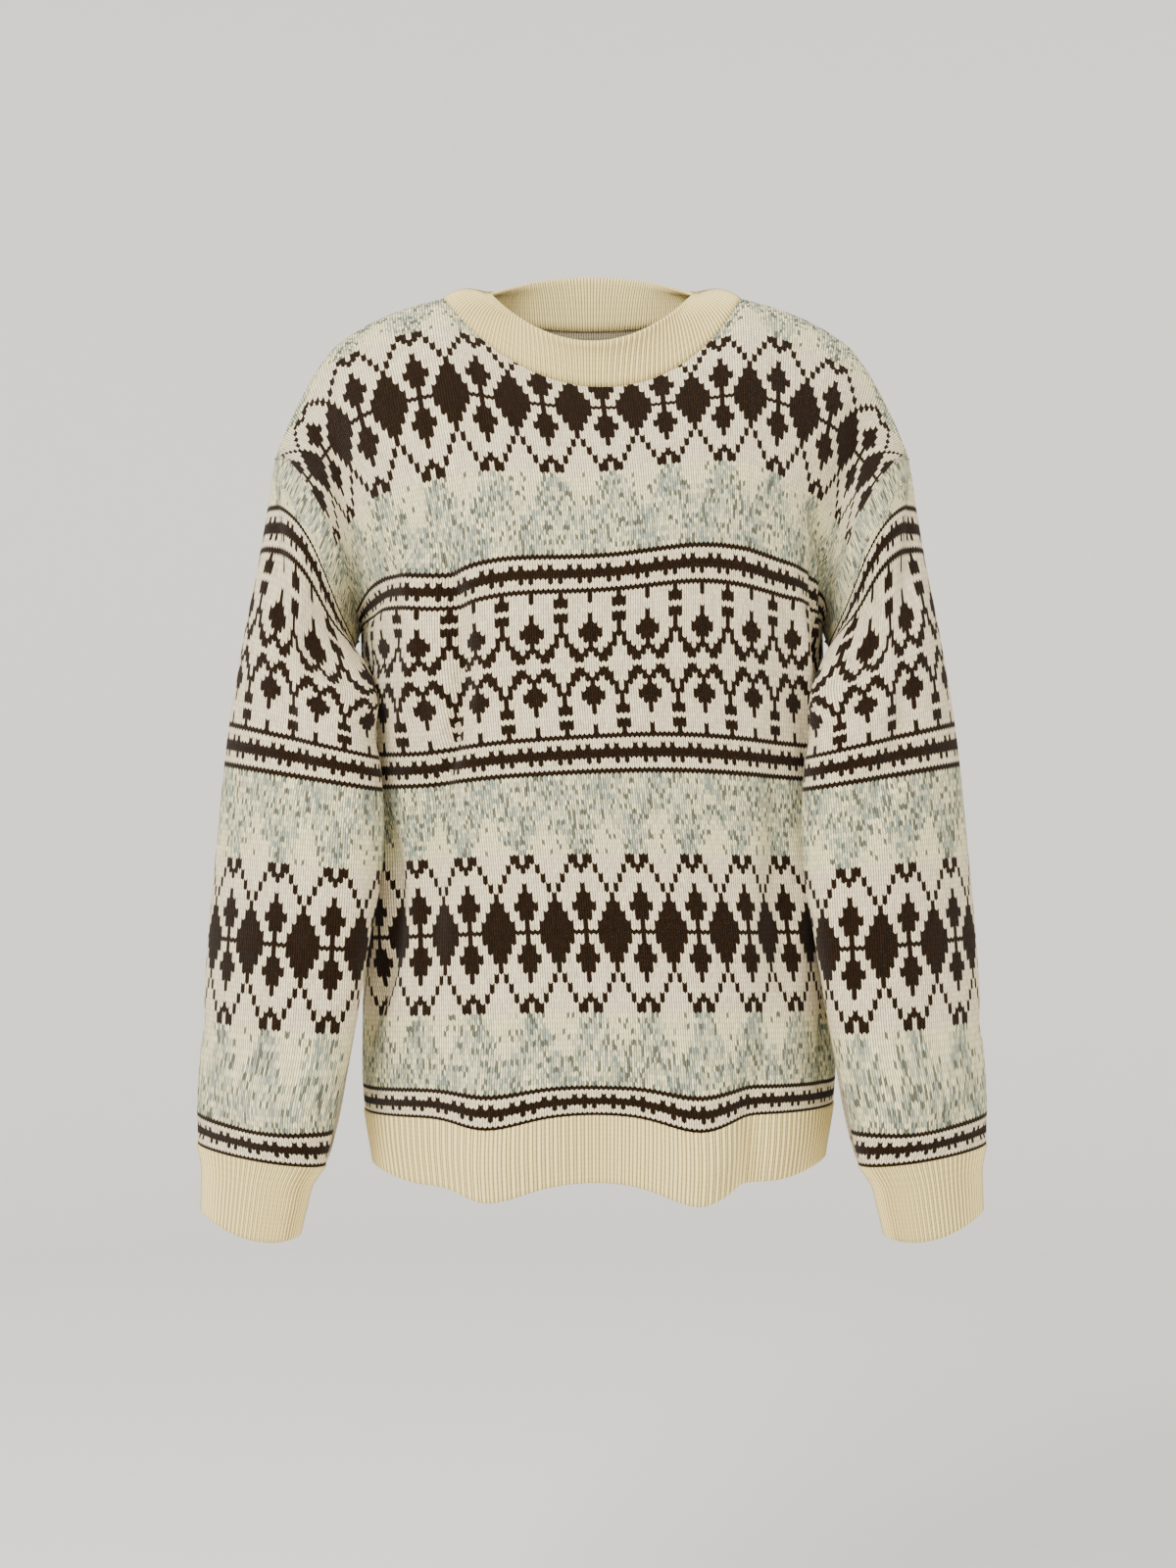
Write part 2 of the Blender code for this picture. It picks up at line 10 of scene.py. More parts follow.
import bpy
import numpy as np
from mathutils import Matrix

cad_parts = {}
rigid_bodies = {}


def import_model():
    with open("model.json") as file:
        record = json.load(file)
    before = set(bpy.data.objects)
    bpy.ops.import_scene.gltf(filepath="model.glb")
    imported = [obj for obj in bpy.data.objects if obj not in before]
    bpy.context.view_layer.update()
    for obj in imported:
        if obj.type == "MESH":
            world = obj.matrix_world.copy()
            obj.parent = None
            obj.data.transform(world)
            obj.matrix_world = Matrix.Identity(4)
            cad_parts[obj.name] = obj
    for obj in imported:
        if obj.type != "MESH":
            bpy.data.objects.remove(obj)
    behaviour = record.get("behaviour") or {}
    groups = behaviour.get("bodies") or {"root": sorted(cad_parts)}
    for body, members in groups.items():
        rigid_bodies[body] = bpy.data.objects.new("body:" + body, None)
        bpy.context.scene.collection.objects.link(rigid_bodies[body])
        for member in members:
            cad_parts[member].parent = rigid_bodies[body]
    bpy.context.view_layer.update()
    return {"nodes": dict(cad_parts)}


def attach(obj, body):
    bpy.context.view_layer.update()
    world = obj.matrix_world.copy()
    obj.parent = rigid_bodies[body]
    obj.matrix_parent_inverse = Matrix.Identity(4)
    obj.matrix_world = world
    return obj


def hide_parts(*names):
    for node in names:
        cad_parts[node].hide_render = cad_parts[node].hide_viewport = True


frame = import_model()
print("nodes:", sorted(frame["nodes"]))

# %% [markdown]
# ## The gauge
# Knitting is a grid, so everything is counted in stitches and rows. A stitch here is 3.4 mm wide and
# 3.3 mm tall. A panel has 147 stitches and 184 rows, and a sleeve has 128 rows above its cuff.
# These are the numbers that a knitter would read off a pattern sheet.

# %% The numbers of the pattern sheet
STITCH = 0.00342
ROW = 0.0033
WALL = 0.0022
EDGE = 73.0
PANEL_STITCHES = 147
TOP_ROW = 184
UNDERARM_ROW = 104.0
SHOULDER_DROP_ROWS = 10.0
NECK_STITCHES = 29.0
FRONT_NECK_ROWS = 28.5
BACK_NECK_ROWS = 12.5
FLAP_START = 51.0
SLEEVE_ROWS = 128
SLEEVE_STITCHES = 132
HEM_ROWS = 15
HALF_WIDTH = 0.168
RING_POWER = 2.35
INNER_FORWARD = 0.042
BODY_CLEARANCE = 0.0035
BODY_DEPTH = 0.12
SHOULDER_POINT = np.array([0.2265, 0.0, -0.1150])
UNDERARM_POINT = np.array([0.1650, 0.0, -0.2380])
ARMHOLE_BULGE = np.array([-0.0140, 0.0720, 0.0120])
FRONT, BACK = -1.0, 1.0
print("a panel laid flat:", round(PANEL_STITCHES * STITCH, 3), "by", round(TOP_ROW * ROW, 3), "m")

# %% [markdown]
# ## Reading smooth values from short tables
# A garment's form is easier to describe with a few sections than with hundreds of points. `column`
# draws a smooth curve through one column of a table, and `smooth` is the usual soft step that the
# folds and blends below are made from.

# %% Two helpers


def smooth(x):
    """0 below 0, 1 above 1, soft between."""
    x = np.clip(x, 0.0, 1.0)
    return x * x * (3.0 - 2.0 * x)


def column(table, at, index):
    """A column of a table, read smoothly at values of its first column."""
    table = sorted(table)
    xs = np.array([row[0] for row in table])
    ys = np.array([row[index] for row in table])
    slopes = np.gradient(ys, xs)
    at = np.clip(at, xs[0], xs[-1])
    i = np.clip(np.searchsorted(xs, at) - 1, 0, len(xs) - 2)
    h = xs[i + 1] - xs[i]
    t = (at - xs[i]) / h
    low = (1 + 2 * t) * (1 - t) ** 2 * ys[i] + t * (1 - t) ** 2 * h * slopes[i]
    high = t * t * (3 - 2 * t) * ys[i + 1] + t * t * (t - 1) * h * slopes[i + 1]
    return low + high


print("soft steps:", [round(float(smooth(x)), 2) for x in (0.0, 0.25, 0.5, 0.75, 1.0)])

# %% [markdown]
# ## The body below the underarms
# Each row of the body is a rounded ring, a little squarer than an ellipse. The first table gives the
# depth of the front and the back at a few rows. The second one holds the soft waves of the hem, which
# swing out and down where the cloth has room to move, and the pull folds below the underarms. A few
# rows and a few folds are enough, because knitting bends softly between them.

# %% Tables of the rings and their folds
# Columns: row from the rib, height, front depth, back depth, width factor
LEVELS = [
    (-15.0, -0.6130, 0.121, 0.118, 0.955),
    (-8.0, -0.5915, 0.122, 0.118, 0.975),
    (0.0, -0.5680, 0.121, 0.117, 0.990),
    (8.0, -0.5470, 0.121, 0.116, 1.000),
    (22.0, -0.4980, 0.120, 0.113, 1.000),
    (55.0, -0.3920, 0.118, 0.104, 0.985),
    (79.0, -0.3150, 0.121, 0.103, 0.985),
    (104.0, -0.2316, 0.125, 0.105, 0.982),
]
RING_LENGTH = 0.99

# Columns: place round the body in metres from the front middle, half width, depth, height where it
# starts, height where it is full, how far it pulls the cloth down
FOLDS = [
    (-0.076, 0.046, 0.016, -0.50, -0.60, 0.010),
    (0.068, 0.044, 0.017, -0.50, -0.60, 0.013),
    (-0.003, 0.032, -0.007, -0.52, -0.60, 0.000),
    (0.112, 0.018, -0.007, -0.53, -0.60, 0.000),
    (-0.128, 0.020, -0.006, -0.26, -0.36, 0.000),
    (0.138, 0.022, -0.007, -0.27, -0.40, 0.000),
    (0.330, 0.044, 0.012, -0.49, -0.60, 0.008),
    (0.420, 0.040, -0.007, -0.50, -0.60, 0.000),
    (0.500, 0.046, 0.013, -0.48, -0.60, 0.009),
    (0.400, 0.026, -0.006, -0.27, -0.40, 0.000),
    (0.560, 0.026, -0.006, -0.28, -0.42, 0.000),
]
print(len(LEVELS), "rings and", len(FOLDS), "folds")

# %% [markdown]
# A ring is made of four quarter arcs, and points are placed on it by the length of cloth between
# them, as stitches would be. Each fold then moves the points near it in or out, and fades away to its
# sides and upwards. So the cloth keeps its rows, whatever the folds do to it.

# %% From the tables to a ring


def quarter_arc(wide, deep):
    """A quarter of a ring: share of its length, and the points there."""
    angle = np.linspace(0.0, np.pi / 2, 160)
    x = wide * np.sin(angle) ** (2 / RING_POWER)
    y = deep * np.cos(angle) ** (2 / RING_POWER)
    length = np.concatenate([[0.0], np.cumsum(np.hypot(np.diff(x), np.diff(y)))])
    return length / length[-1], x, y


def turned(u, row, face):
    """Where a place across a panel, -1 to 1, lies round the body, which is turned a little."""
    place = u if face < 0 else 2.0 - u
    centred = 0.075 * (1.0 - u * u) * (1.0 if face < 0 else 0.3)
    return place + centred + 0.075 * smooth((UNDERARM_ROW - row) / UNDERARM_ROW)


def body_lean(z):
    """The lower body hangs a little to one side."""
    return 0.005 * smooth((-z - 0.20) / 0.25)


def ring(u, row, face):
    """The points of a row at or below the underarm, for places u across a panel."""
    around = turned(u, row, face)
    place = (around + 2.0) % 4.0 - 2.0
    wide = HALF_WIDTH * column(LEVELS, row, 4)
    fs, fx, fy = quarter_arc(wide, column(LEVELS, row, 2))
    bs, bx, by = quarter_arc(wide, column(LEVELS, row, 3))
    part = np.abs(place)
    ahead = part <= 1.0
    x = np.where(ahead, np.interp(part, fs, fx), np.interp(2.0 - part, bs, bx))
    x = x * np.where(place >= 0, 1.0, -1.0)
    y = np.where(ahead, -np.interp(part, fs, fy), np.interp(2.0 - part, bs, by))
    z = column(LEVELS, row, 1) - np.where(x < 0, 0.009, 0.004) * (x / HALF_WIDTH) ** 2
    z = z + 0.010 * smooth(-row / 15.0 + 0.2) * smooth((np.abs(x) - 0.12) / 0.05)
    out_x, out_y = x / HALF_WIDTH**2, y / BODY_DEPTH**2
    size = np.maximum(np.hypot(out_x, out_y), 1e-9)
    metres = (around % 4.0) * RING_LENGTH / 4
    for middle, half, depth, start, full, dip in FOLDS:
        apart = (metres - middle % RING_LENGTH + RING_LENGTH / 2) % RING_LENGTH - RING_LENGTH / 2
        shape = np.where(np.abs(apart) < half * 2, np.exp(-2.2 * (apart / half) ** 2), 0.0)
        grow = smooth((start - z) / (start - full))
        if start > -0.4:
            grow = grow * (1.0 - smooth((-0.44 - z) / 0.08))
        x = x + out_x / size * depth * shape * grow
        y = y + out_y / size * depth * shape * grow
        z = z - dip * shape * grow
    return np.stack([x + body_lean(z), y, z], axis=-1)


low_row = ring(np.linspace(-1.0, 1.0, 9), 0.0, FRONT)
print("heights along the lowest row of the front:", [round(float(z), 3) for z in low_row[:, 2]])

# %% [markdown]
# ## The shoulders and the neck edge
# The two panels meet in a seam along the shoulders, which falls softly and then turns down over the
# top of the arm. In the middle the knitting stops lower, for the neck, and the front stops lowest.
# The seam is a short table of points, because its bend is what gives a pullover its slope.

# %% The shoulder seam and the top of each column
# Columns: distance out from the middle, height
SHOULDER_LINE = [
    (0.1060, 0.0000),
    (0.1375, -0.0090),
    (0.1660, -0.0222),
    (0.1840, -0.0350),
    (0.1970, -0.0503),
    (0.2080, -0.0688),
    (0.2180, -0.0898),
    (0.2265, -0.1150),
]


def shoulder_point(c, face):
    """Where a column meets the shoulder seam, or would without the neck."""
    side, c = (1.0 if c >= 0 else -1.0), abs(c)
    if c <= NECK_STITCHES:
        share = c / NECK_STITCHES
        dip = 0.030 if face < 0 else 0.004
        return np.array([side * 0.106 * share, 0.0, -dip * (1.0 - share**2)])
    line = np.array(SHOULDER_LINE)
    length = np.concatenate([[0.0], np.cumsum(np.hypot(*np.diff(line, axis=0).T))])
    at = (c - NECK_STITCHES) / (EDGE - NECK_STITCHES) * length[-1]
    x = column(list(zip(length, line[:, 0])), at, 1)
    z = column(list(zip(length, line[:, 1])), at, 1)
    return np.array([side * float(x), 0.0, float(z)])


def last_row(c, face):
    """The top row of a column, at the neck or at the shoulder."""
    c = np.abs(c)
    shoulder = TOP_ROW - SHOULDER_DROP_ROWS * np.clip((c - NECK_STITCHES) / (EDGE - NECK_STITCHES), 0, 1)
    curve = np.sqrt(np.clip(1.0 - (c / NECK_STITCHES) ** 2, 0.0, 1.0))
    neck = TOP_ROW - (FRONT_NECK_ROWS * curve**1.04 if face < 0 else BACK_NECK_ROWS * curve)
    return np.where(c < NECK_STITCHES, neck, shoulder)


print("rows at the middle of the neck, front and back:", float(last_row(0, FRONT)), float(last_row(0, BACK)))

# %% [markdown]
# ## The armholes and the columns of the yoke
# Above the underarms each column of stitches climbs to the shoulder line on its own smooth curve.
# Past column 51 the panel leaves the chest and lies over the top of the arm, because this is a
# dropped shoulder: the panel is straight to the top and the sleeve starts well down the arm. That
# leaves the soft hollow that runs down from the shoulder to the armpit.

# %% The armhole seam and the columns beside it
HOLLOW_DEPTH = 0.0085


def armhole(share, side, face):
    """The armhole seam, from the underarm at 0 to the shoulder at 1."""
    share = np.asarray(share, dtype=float)
    turn = np.pi * (1.0 - np.clip(share, 0.001, 0.999))
    middle = (SHOULDER_POINT + UNDERARM_POINT) / 2
    half = (SHOULDER_POINT - UNDERARM_POINT) / 2
    out = np.sin(turn)
    forward = out ** (1.0 + 0.8 * smooth((0.45 - share) / 0.35)) * face
    inward = out * (0.35 + 0.65 * smooth((share - 0.1) / 0.45))
    bulge = ARMHOLE_BULGE * np.stack([inward, forward, out], axis=-1)
    p = middle + half * np.cos(turn)[..., None] + bulge
    return p * np.array([side, 1.0, 1.0])


def wale(c, share, face):
    """A column's points from the underarm row to the shoulder line, at shares of its way."""
    low = ring(np.array([c / EDGE]), UNDERARM_ROW, face)[0]
    high = shoulder_point(c, face)
    angle = np.linspace(0.0, np.pi / 2, 60)
    power = 2.0 if face < 0 else 2.25
    ys = abs(low[1] - high[1]) * np.cos(angle) ** (2 / power)
    zs = (high[2] - low[2]) * np.sin(angle) ** (2 / power)
    length = np.concatenate([[0.0], np.cumsum(np.hypot(np.diff(ys), np.diff(zs)))])
    at = np.interp(share * length[-1], length, angle)
    x = low[0] + (high[0] - low[0]) * smooth(share) ** 1.15
    y = face * np.interp(at, angle, ys)
    return np.stack([x, y, low[2] + np.interp(at, angle, zs)], axis=-1)


def yoke(c, rows, face):
    """The points of one column above the underarm."""
    side = 1.0 if c >= 0 else -1.0
    top = TOP_ROW - SHOULDER_DROP_ROWS * max(0.0, abs(c) - NECK_STITCHES) / (EDGE - NECK_STITCHES)
    share = np.clip((rows - UNDERARM_ROW) / (top - UNDERARM_ROW), 0.0, 1.0)
    beyond = max(0.0, abs(c) - FLAP_START)
    held = min(abs(c), FLAP_START) + 5.0 * math.tanh(beyond / 8.0)
    near_top = smooth((share - 0.55) / 0.45)[:, None]
    p = wale(side * held, share, face) * (1.0 - near_top) + wale(side * abs(c), share, face) * near_top
    edge = (beyond / (EDGE - FLAP_START)) ** 1.4
    p = p * (1.0 - edge) + armhole(share, side, face) * edge
    hollow = math.exp(-(((abs(c) - 57.0) / 5.5) ** 2)) * np.sin(np.pi * share) ** 0.8
    p[:, 1] -= face * HOLLOW_DEPTH * hollow * smooth((share - 0.35) / 0.3)
    return p


# %% [markdown]
# A whole panel is the rings below and the columns above. They meet at the underarm row, where the
# rings lean over by degrees to the line on which the columns start.

# %% A panel's points


def panel(columns, rows, face):
    """The front's or the back's outer points, rows by columns. Rows past a column's end stop there."""
    columns = np.clip(columns, -EDGE, EDGE)
    points = np.zeros((len(rows), len(columns), 3))
    ends = last_row(columns, face)
    base = ring(columns / EDGE, UNDERARM_ROW, face)
    lift = np.array([yoke(c, np.array([UNDERARM_ROW]), face)[0] for c in columns]) - base
    for i, row in enumerate(rows):
        if row < UNDERARM_ROW:
            points[i] = ring(columns / EDGE, row, face) + lift * smooth((row - 70.0) / 34.0)
    above = rows >= UNDERARM_ROW
    if above.any():
        for j, c in enumerate(columns):
            points[above, j] = yoke(c, np.minimum(rows[above], ends[j]), face)
    return points


middle_column = panel(np.array([0.0]), np.array([0.0, 55.0, 110.0, 155.0]), FRONT)[:, 0]
print("up the middle of the front:", np.round(middle_column, 3).tolist())

# %% [markdown]
# ## The sleeves
# A sleeve is a tube through a few sections. Each section knows its outer and inner edge as seen from
# the front, and how deep it is. The tube keeps just clear of the body, which presses its inner side
# flat, and its top ring runs exactly along the armhole seam.

# %% Tables of a sleeve and a cuff
# Columns: row from the cuff, outer x, outer z, inner x, inner z, middle y, half depth
SLEEVE_STATIONS = [
    (120.0, 0.2300, -0.1420, 0.1680, -0.2480, -0.004, 0.0715),
    (112.0, 0.2330, -0.1720, 0.1690, -0.2600, -0.012, 0.0650),
    (94.0, 0.2435, -0.2420, 0.1560, -0.2880, -0.034, 0.0545),
    (79.0, 0.2530, -0.3010, 0.1460, -0.3260, -0.039, 0.0480),
    (55.0, 0.2625, -0.3940, 0.1450, -0.4040, -0.042, 0.0440),
    (38.0, 0.2675, -0.4520, 0.1530, -0.4590, -0.044, 0.0410),
    (22.0, 0.2715, -0.5080, 0.1620, -0.5140, -0.044, 0.0390),
    (8.0, 0.2755, -0.5720, 0.1760, -0.5800, -0.043, 0.0400),
    (0.0, 0.2750, -0.5960, 0.1820, -0.6060, -0.042, 0.0385),
]
CUFF_STATIONS = [
    (0.00, 0.2750, -0.5960, 0.1820, -0.6060, -0.042, 0.0385),
    (0.18, 0.2725, -0.6080, 0.1890, -0.6160, -0.042, 0.0360),
    (0.60, 0.2720, -0.6280, 0.1955, -0.6380, -0.042, 0.0340),
    (1.00, 0.2725, -0.6450, 0.1995, -0.6560, -0.042, 0.0335),
]

# Columns: row from the cuff, place round the sleeve in turns from the outside towards the front,
# half width in turns, depth, half height in rows
SLEEVE_FOLDS = [
    (98.0, 0.30, 0.07, -0.008, 24.0),
    (103.0, 0.43, 0.08, 0.014, 13.0),
    (84.0, 0.20, 0.09, -0.005, 22.0),
    (104.0, 0.62, 0.10, -0.009, 24.0),
    (60.0, 0.56, 0.10, 0.004, 22.0),
    (9.0, 0.28, 0.10, 0.006, 9.0),
    (12.0, 0.72, 0.10, 0.005, 9.0),
]
LAST_STATION = 120.0
print(len(SLEEVE_STATIONS), "sections and", len(SLEEVE_FOLDS), "folds on each sleeve")

# %% [markdown]
# Each ring of a sleeve is an ellipse between its outer and inner edge. The inner side lies further
# forward than the outer one, because an arm hangs a little in front of the body. Near the top the
# ring turns by degrees into the armhole seam, so that the two share one edge.

# %% From the tables to a ring of a sleeve


def section(stations, at, turns, side):
    """A ring of a sleeve or a cuff. Turns run from the outside through the front and the inside."""
    sizes = [column(stations, at, k) for k in range(1, 7)]
    outer_x, outer_z, inner_x, inner_z, middle_y, half_depth = sizes
    across = np.cos(2 * np.pi * turns)
    x = (outer_x + inner_x) / 2 + (outer_x - inner_x) / 2 * across
    z = (outer_z + inner_z) / 2 + (outer_z - inner_z) / 2 * across
    y = middle_y - half_depth * np.sin(2 * np.pi * turns)
    y = y + INNER_FORWARD * (across - 1.0) / 2 * (1.0 - smooth((at - 82.0) / 28.0))
    return np.stack([side * x, y, z], axis=-1)


def beside_body(p, side):
    """Moves a sleeve's points out where they would touch the body."""
    row = np.interp(p[:, 2], [level[1] for level in LEVELS], [level[0] for level in LEVELS])
    wide = HALF_WIDTH * column(LEVELS, row, 4)
    deep = np.where(p[:, 1] < 0, column(LEVELS, row, 2), column(LEVELS, row, 3))
    share = np.minimum(1.0, np.abs(p[:, 1]) / deep)
    limit = wide * (1.0 - share**RING_POWER) ** (1 / RING_POWER) + side * body_lean(p[:, 2])
    limit = limit + BODY_CLEARANCE
    x = p[:, 0] * side
    moved = limit + 0.004 * np.log1p(np.exp(np.clip((x - limit) / 0.004, -40, 40)))
    fade = smooth((-0.238 - p[:, 2]) / 0.03)
    out = np.maximum(x, moved * fade + x * (1.0 - fade))
    return np.stack([side * out, p[:, 1], p[:, 2]], axis=-1)


def sleeve_ring(row, turns, side):
    """The points round a sleeve at a row, from the cuff at row 0 to the armhole at the last."""
    at_table = min(row, LAST_STATION)
    low = section(SLEEVE_STATIONS, at_table, turns, side)
    face = np.where(turns <= 0.5, FRONT, BACK)
    share = np.abs(1.0 - 2.0 * turns)
    rim = armhole(share, side, face)
    last_turn = smooth((row - LAST_STATION) / (SLEEVE_ROWS - LAST_STATION))
    blend = max(last_turn, 0.55 * smooth((row - 96.0) / (SLEEVE_ROWS - 96.0)))
    p = low * (1.0 - blend) + rim * blend
    middle = section(SLEEVE_STATIONS, at_table, np.array([0.0, 0.5]), side).mean(axis=0)
    middle[1] = column(SLEEVE_STATIONS, at_table, 5)
    for at, place, half, depth, tall in SLEEVE_FOLDS:
        apart = np.abs((turns - place + 0.5) % 1.0 - 0.5)
        shape = np.exp(-2.0 * (apart / half) ** 2) * math.exp(-2.0 * ((row - at) / tall) ** 2)
        out = p - middle
        out = out / np.maximum(np.linalg.norm(out, axis=1, keepdims=True), 1e-9)
        p = p + out * (depth * shape * (1.0 - smooth((row - 108.0) / 18.0)))[:, None]
    return beside_body(p, side)


for row in (0.0, 64.0, 128.0):
    loop = sleeve_ring(row, np.linspace(0.0, 0.999, 60), 1.0)
    girth = np.linalg.norm(np.diff(loop, axis=0), axis=1).sum()
    print("round a sleeve at row", row, round(float(girth), 3), "m")

# %% [markdown]
# ## Soft creases
# The solids carry the large folds. These tables add the smaller ones that the eye expects in soft
# knitting: troughs at the armpits, long folds at the sides of the front, drag lines at the waist and
# crumples above the hem and the cuffs. Each is a soft line between two places in the stitch grid, and
# no two are alike.

# %% Creases as lines between two places in the knitting
# Columns: from column, from row, to column, to row, half width in metres, depth
FRONT_CREASES = [
    (-66, 108, -40, 128, 0.012, -0.0040),
    (-70, 96, -46, 104, 0.010, -0.0030),
    (-42, 66, -39, 126, 0.010, -0.0105),
    (-50, 80, -47, 122, 0.009, 0.0045),
    (-64, 18, -56, 66, 0.010, -0.0070),
    (66, 106, 44, 132, 0.012, -0.0045),
    (70, 92, 50, 98, 0.010, -0.0030),
    (46, 14, 51, 120, 0.010, -0.0105),
    (38, 34, 41, 118, 0.010, 0.0045),
    (60, 30, 66, 84, 0.010, 0.0030),
    (-20, 96, 6, 101, 0.016, -0.0014),
    (-36, 30, -22, 34, 0.014, -0.0015),
    (14, 52, 34, 47, 0.014, -0.0014),
    (-24, 2, -40, 22, 0.012, -0.0025),
    (20, 3, 26, 26, 0.012, -0.0025),
    (-8, 6, -10, 30, 0.016, 0.0020),
    (-48, 166, -30, 150, 0.013, -0.0018),
    (50, 168, 34, 152, 0.013, -0.0020),
]
BACK_CREASES = [
    (-64, 108, -38, 130, 0.012, -0.0042),
    (66, 110, 42, 126, 0.012, -0.0038),
    (-66, 92, -48, 100, 0.010, -0.0030),
    (68, 88, 50, 99, 0.010, -0.0030),
    (-30, 70, 28, 66, 0.016, -0.0022),
    (-22, 84, 36, 80, 0.015, -0.0018),
    (-46, 20, -42, 72, 0.013, -0.0030),
    (40, 16, 46, 66, 0.013, -0.0032),
    (-10, 4, -16, 34, 0.013, -0.0025),
    (24, 3, 20, 24, 0.012, -0.0022),
]
# On a sleeve the column is counted from its outside towards the front, or back if below 0.
SLEEVE_CREASES = [
    (8, 118, 34, 96, 0.012, -0.0050),
    (14, 106, 40, 84, 0.010, -0.0030),
    (20, 92, 36, 62, 0.012, -0.0045),
    (43, 110, 43, 86, 0.018, 0.0075),
    (6, 14, 30, 10, 0.009, -0.0028),
    (-4, 24, 26, 20, 0.010, -0.0020),
    (2, 5, 20, 4, 0.007, -0.0020),
    (-34, 112, -10, 104, 0.011, -0.0032),
    (-38, 92, -14, 84, 0.011, -0.0030),
    (-40, 66, -16, 70, 0.011, -0.0028),
    (-36, 50, -12, 47, 0.010, -0.0024),
    (-30, 14, -6, 9, 0.009, -0.0026),
    (24, 44, 36, 30, 0.010, -0.0020),
]
print(len(FRONT_CREASES), len(BACK_CREASES), len(SLEEVE_CREASES), "creases at the front, back and sleeve")

# %% [markdown]
# The bands of the pattern don't lie level on worn knitting either. Where the cloth is pulled, a band
# climbs or sinks by a few rows. Moving the stitches along the surface shows that, and leaves the form
# of the surface as it is.

# %% Where the bands climb and sink
# Columns: column, row, half width in columns, half height in rows, rows that it moves up
FRONT_SLIDES = [
    (19, 118, 17, 26, 3.0),
    (-37, 116, 10, 20, -2.4),
    (14, 136, 26, 12, 1.2),
    (8, 78, 26, 14, 1.4),
    (-44, 78, 12, 14, -1.0),
    (-56, 160, 14, 14, 3.5),
    (58, 160, 14, 14, 3.0),
]
BACK_SLIDES = [
    (-16, 118, 20, 24, 2.2),
    (38, 114, 12, 20, -2.0),
    (-10, 60, 26, 18, 1.2),
    (-56, 160, 14, 14, 3.0),
    (56, 160, 14, 14, 3.2),
]
SLEEVE_SLIDES = [
    (30, 112, 14, 13, 4.0),
    (-2, 114, 15, 12, -3.0),
    (-30, 112, 14, 13, 3.0),
    (24, 8, 12, 8, -1.2),
]
print(len(FRONT_SLIDES), len(BACK_SLIDES), len(SLEEVE_SLIDES), "slides at the front, back and sleeve")

# %% [markdown]
# Three helpers use these tables on a grid of points: one for how deep the creases are at each point,
# one for the slides, and one for the direction in which the surface faces there. A crease has soft
# ends and bends a little, since a straight one would look drawn with a ruler.

# %% Helpers for creases and slides


def crease_depth(columns, rows, creases, sway=1.0):
    """How far each place of a grid moves out, in metres."""
    x, y = np.meshgrid(columns * STITCH, rows * ROW)
    moved = np.zeros_like(x)
    for c0, r0, c1, r1, half, depth in creases:
        ax, ay, bx, by = c0 * STITCH * sway, r0 * ROW, c1 * STITCH * sway, r1 * ROW
        dx, dy = bx - ax, by - ay
        along = ((x - ax) * dx + (y - ay) * dy) / (dx * dx + dy * dy)
        bent = 0.12 * np.sin(np.pi * np.clip(along, 0, 1)) * math.hypot(dx, dy)
        across = ((x - ax) * dy - (y - ay) * dx) / math.hypot(dx, dy) - bent
        ends = smooth((along + 0.15) / 0.4) * smooth((1.15 - along) / 0.4)
        moved += depth * ends * np.exp(-((across / half) ** 2))
    return moved


def slid(surface, columns, rows, ends, slides):
    """Lets the knitting slide up or down on its own surface, which leaves its form as it is."""
    moved = surface.copy()
    for j, (c, end) in enumerate(zip(columns, ends)):
        up = np.zeros(len(rows))
        for at_c, at_r, half_c, half_r, lift in slides:
            up += lift * math.exp(-(((c - at_c) / half_c) ** 2)) * np.exp(-(((rows - at_r) / half_r) ** 2))
        up *= smooth(rows / 10.0) * smooth((end - rows) / 9.0)
        for axis in range(3):
            moved[:, j, axis] = np.interp(rows + up, rows, surface[:, j, axis])
    return moved


def normals_of(points, outward):
    """Directions square to a grid of points, on the side of the given direction."""
    n = np.cross(np.gradient(points, axis=1), np.gradient(points, axis=0))
    n = n / np.maximum(np.linalg.norm(n, axis=2, keepdims=True), 1e-12)
    middle = n[n.shape[0] // 3, n.shape[1] // 2]
    return n if middle @ outward > 0 else -n


relief = crease_depth(np.arange(-73.0, 74.0), np.arange(0.0, 185.0), FRONT_CREASES) * 1000
print("creases of the front, in mm:", round(float(relief.min()), 1), "to", round(float(relief.max()), 1))

# %% [markdown]
# ## The charts
# A fair isle chart says which of two yarns each stitch takes. Both motifs repeat every 12 stitches
# and are the same to the left and right, so 7 columns are enough: from the middle of one motif to
# the middle of the next. `#` is the dark yarn. Each chart below is the lower half of its band, and the
# upper half is the same in the opposite order.

# %% Charts, half a repeat wide and half a band tall
LATTICE_HALF = """
.##....
.##....
##.#...
#..#...
....#..
....#..
#....#.
#....#.
##....#
##....#
###..##
###..##
##..###
##..###
#..####
#..####
#######
""".split()
POST_HALF = """
#.....#
#....##
.....##
.......
#....##
#....##
##....#
###...#
###..##
##...#.
#...##.
##.##..
.####..
..##...
.......
""".split()
LATTICE = LATTICE_HALF + LATTICE_HALF[-2::-1]
POSTS = POST_HALF + POST_HALF[-2::-1]
CHART_REPEAT = 12
# A border is 8 rows and repeats every 6 stitches. Each entry holds the columns that are dark.
BORDER_REPEAT = 6
ALL, NONE = (0, 1, 2, 3, 4, 5), ()
BORDER = [ALL, NONE, (4, 0), ALL, ALL, (2, 4), NONE, ALL]

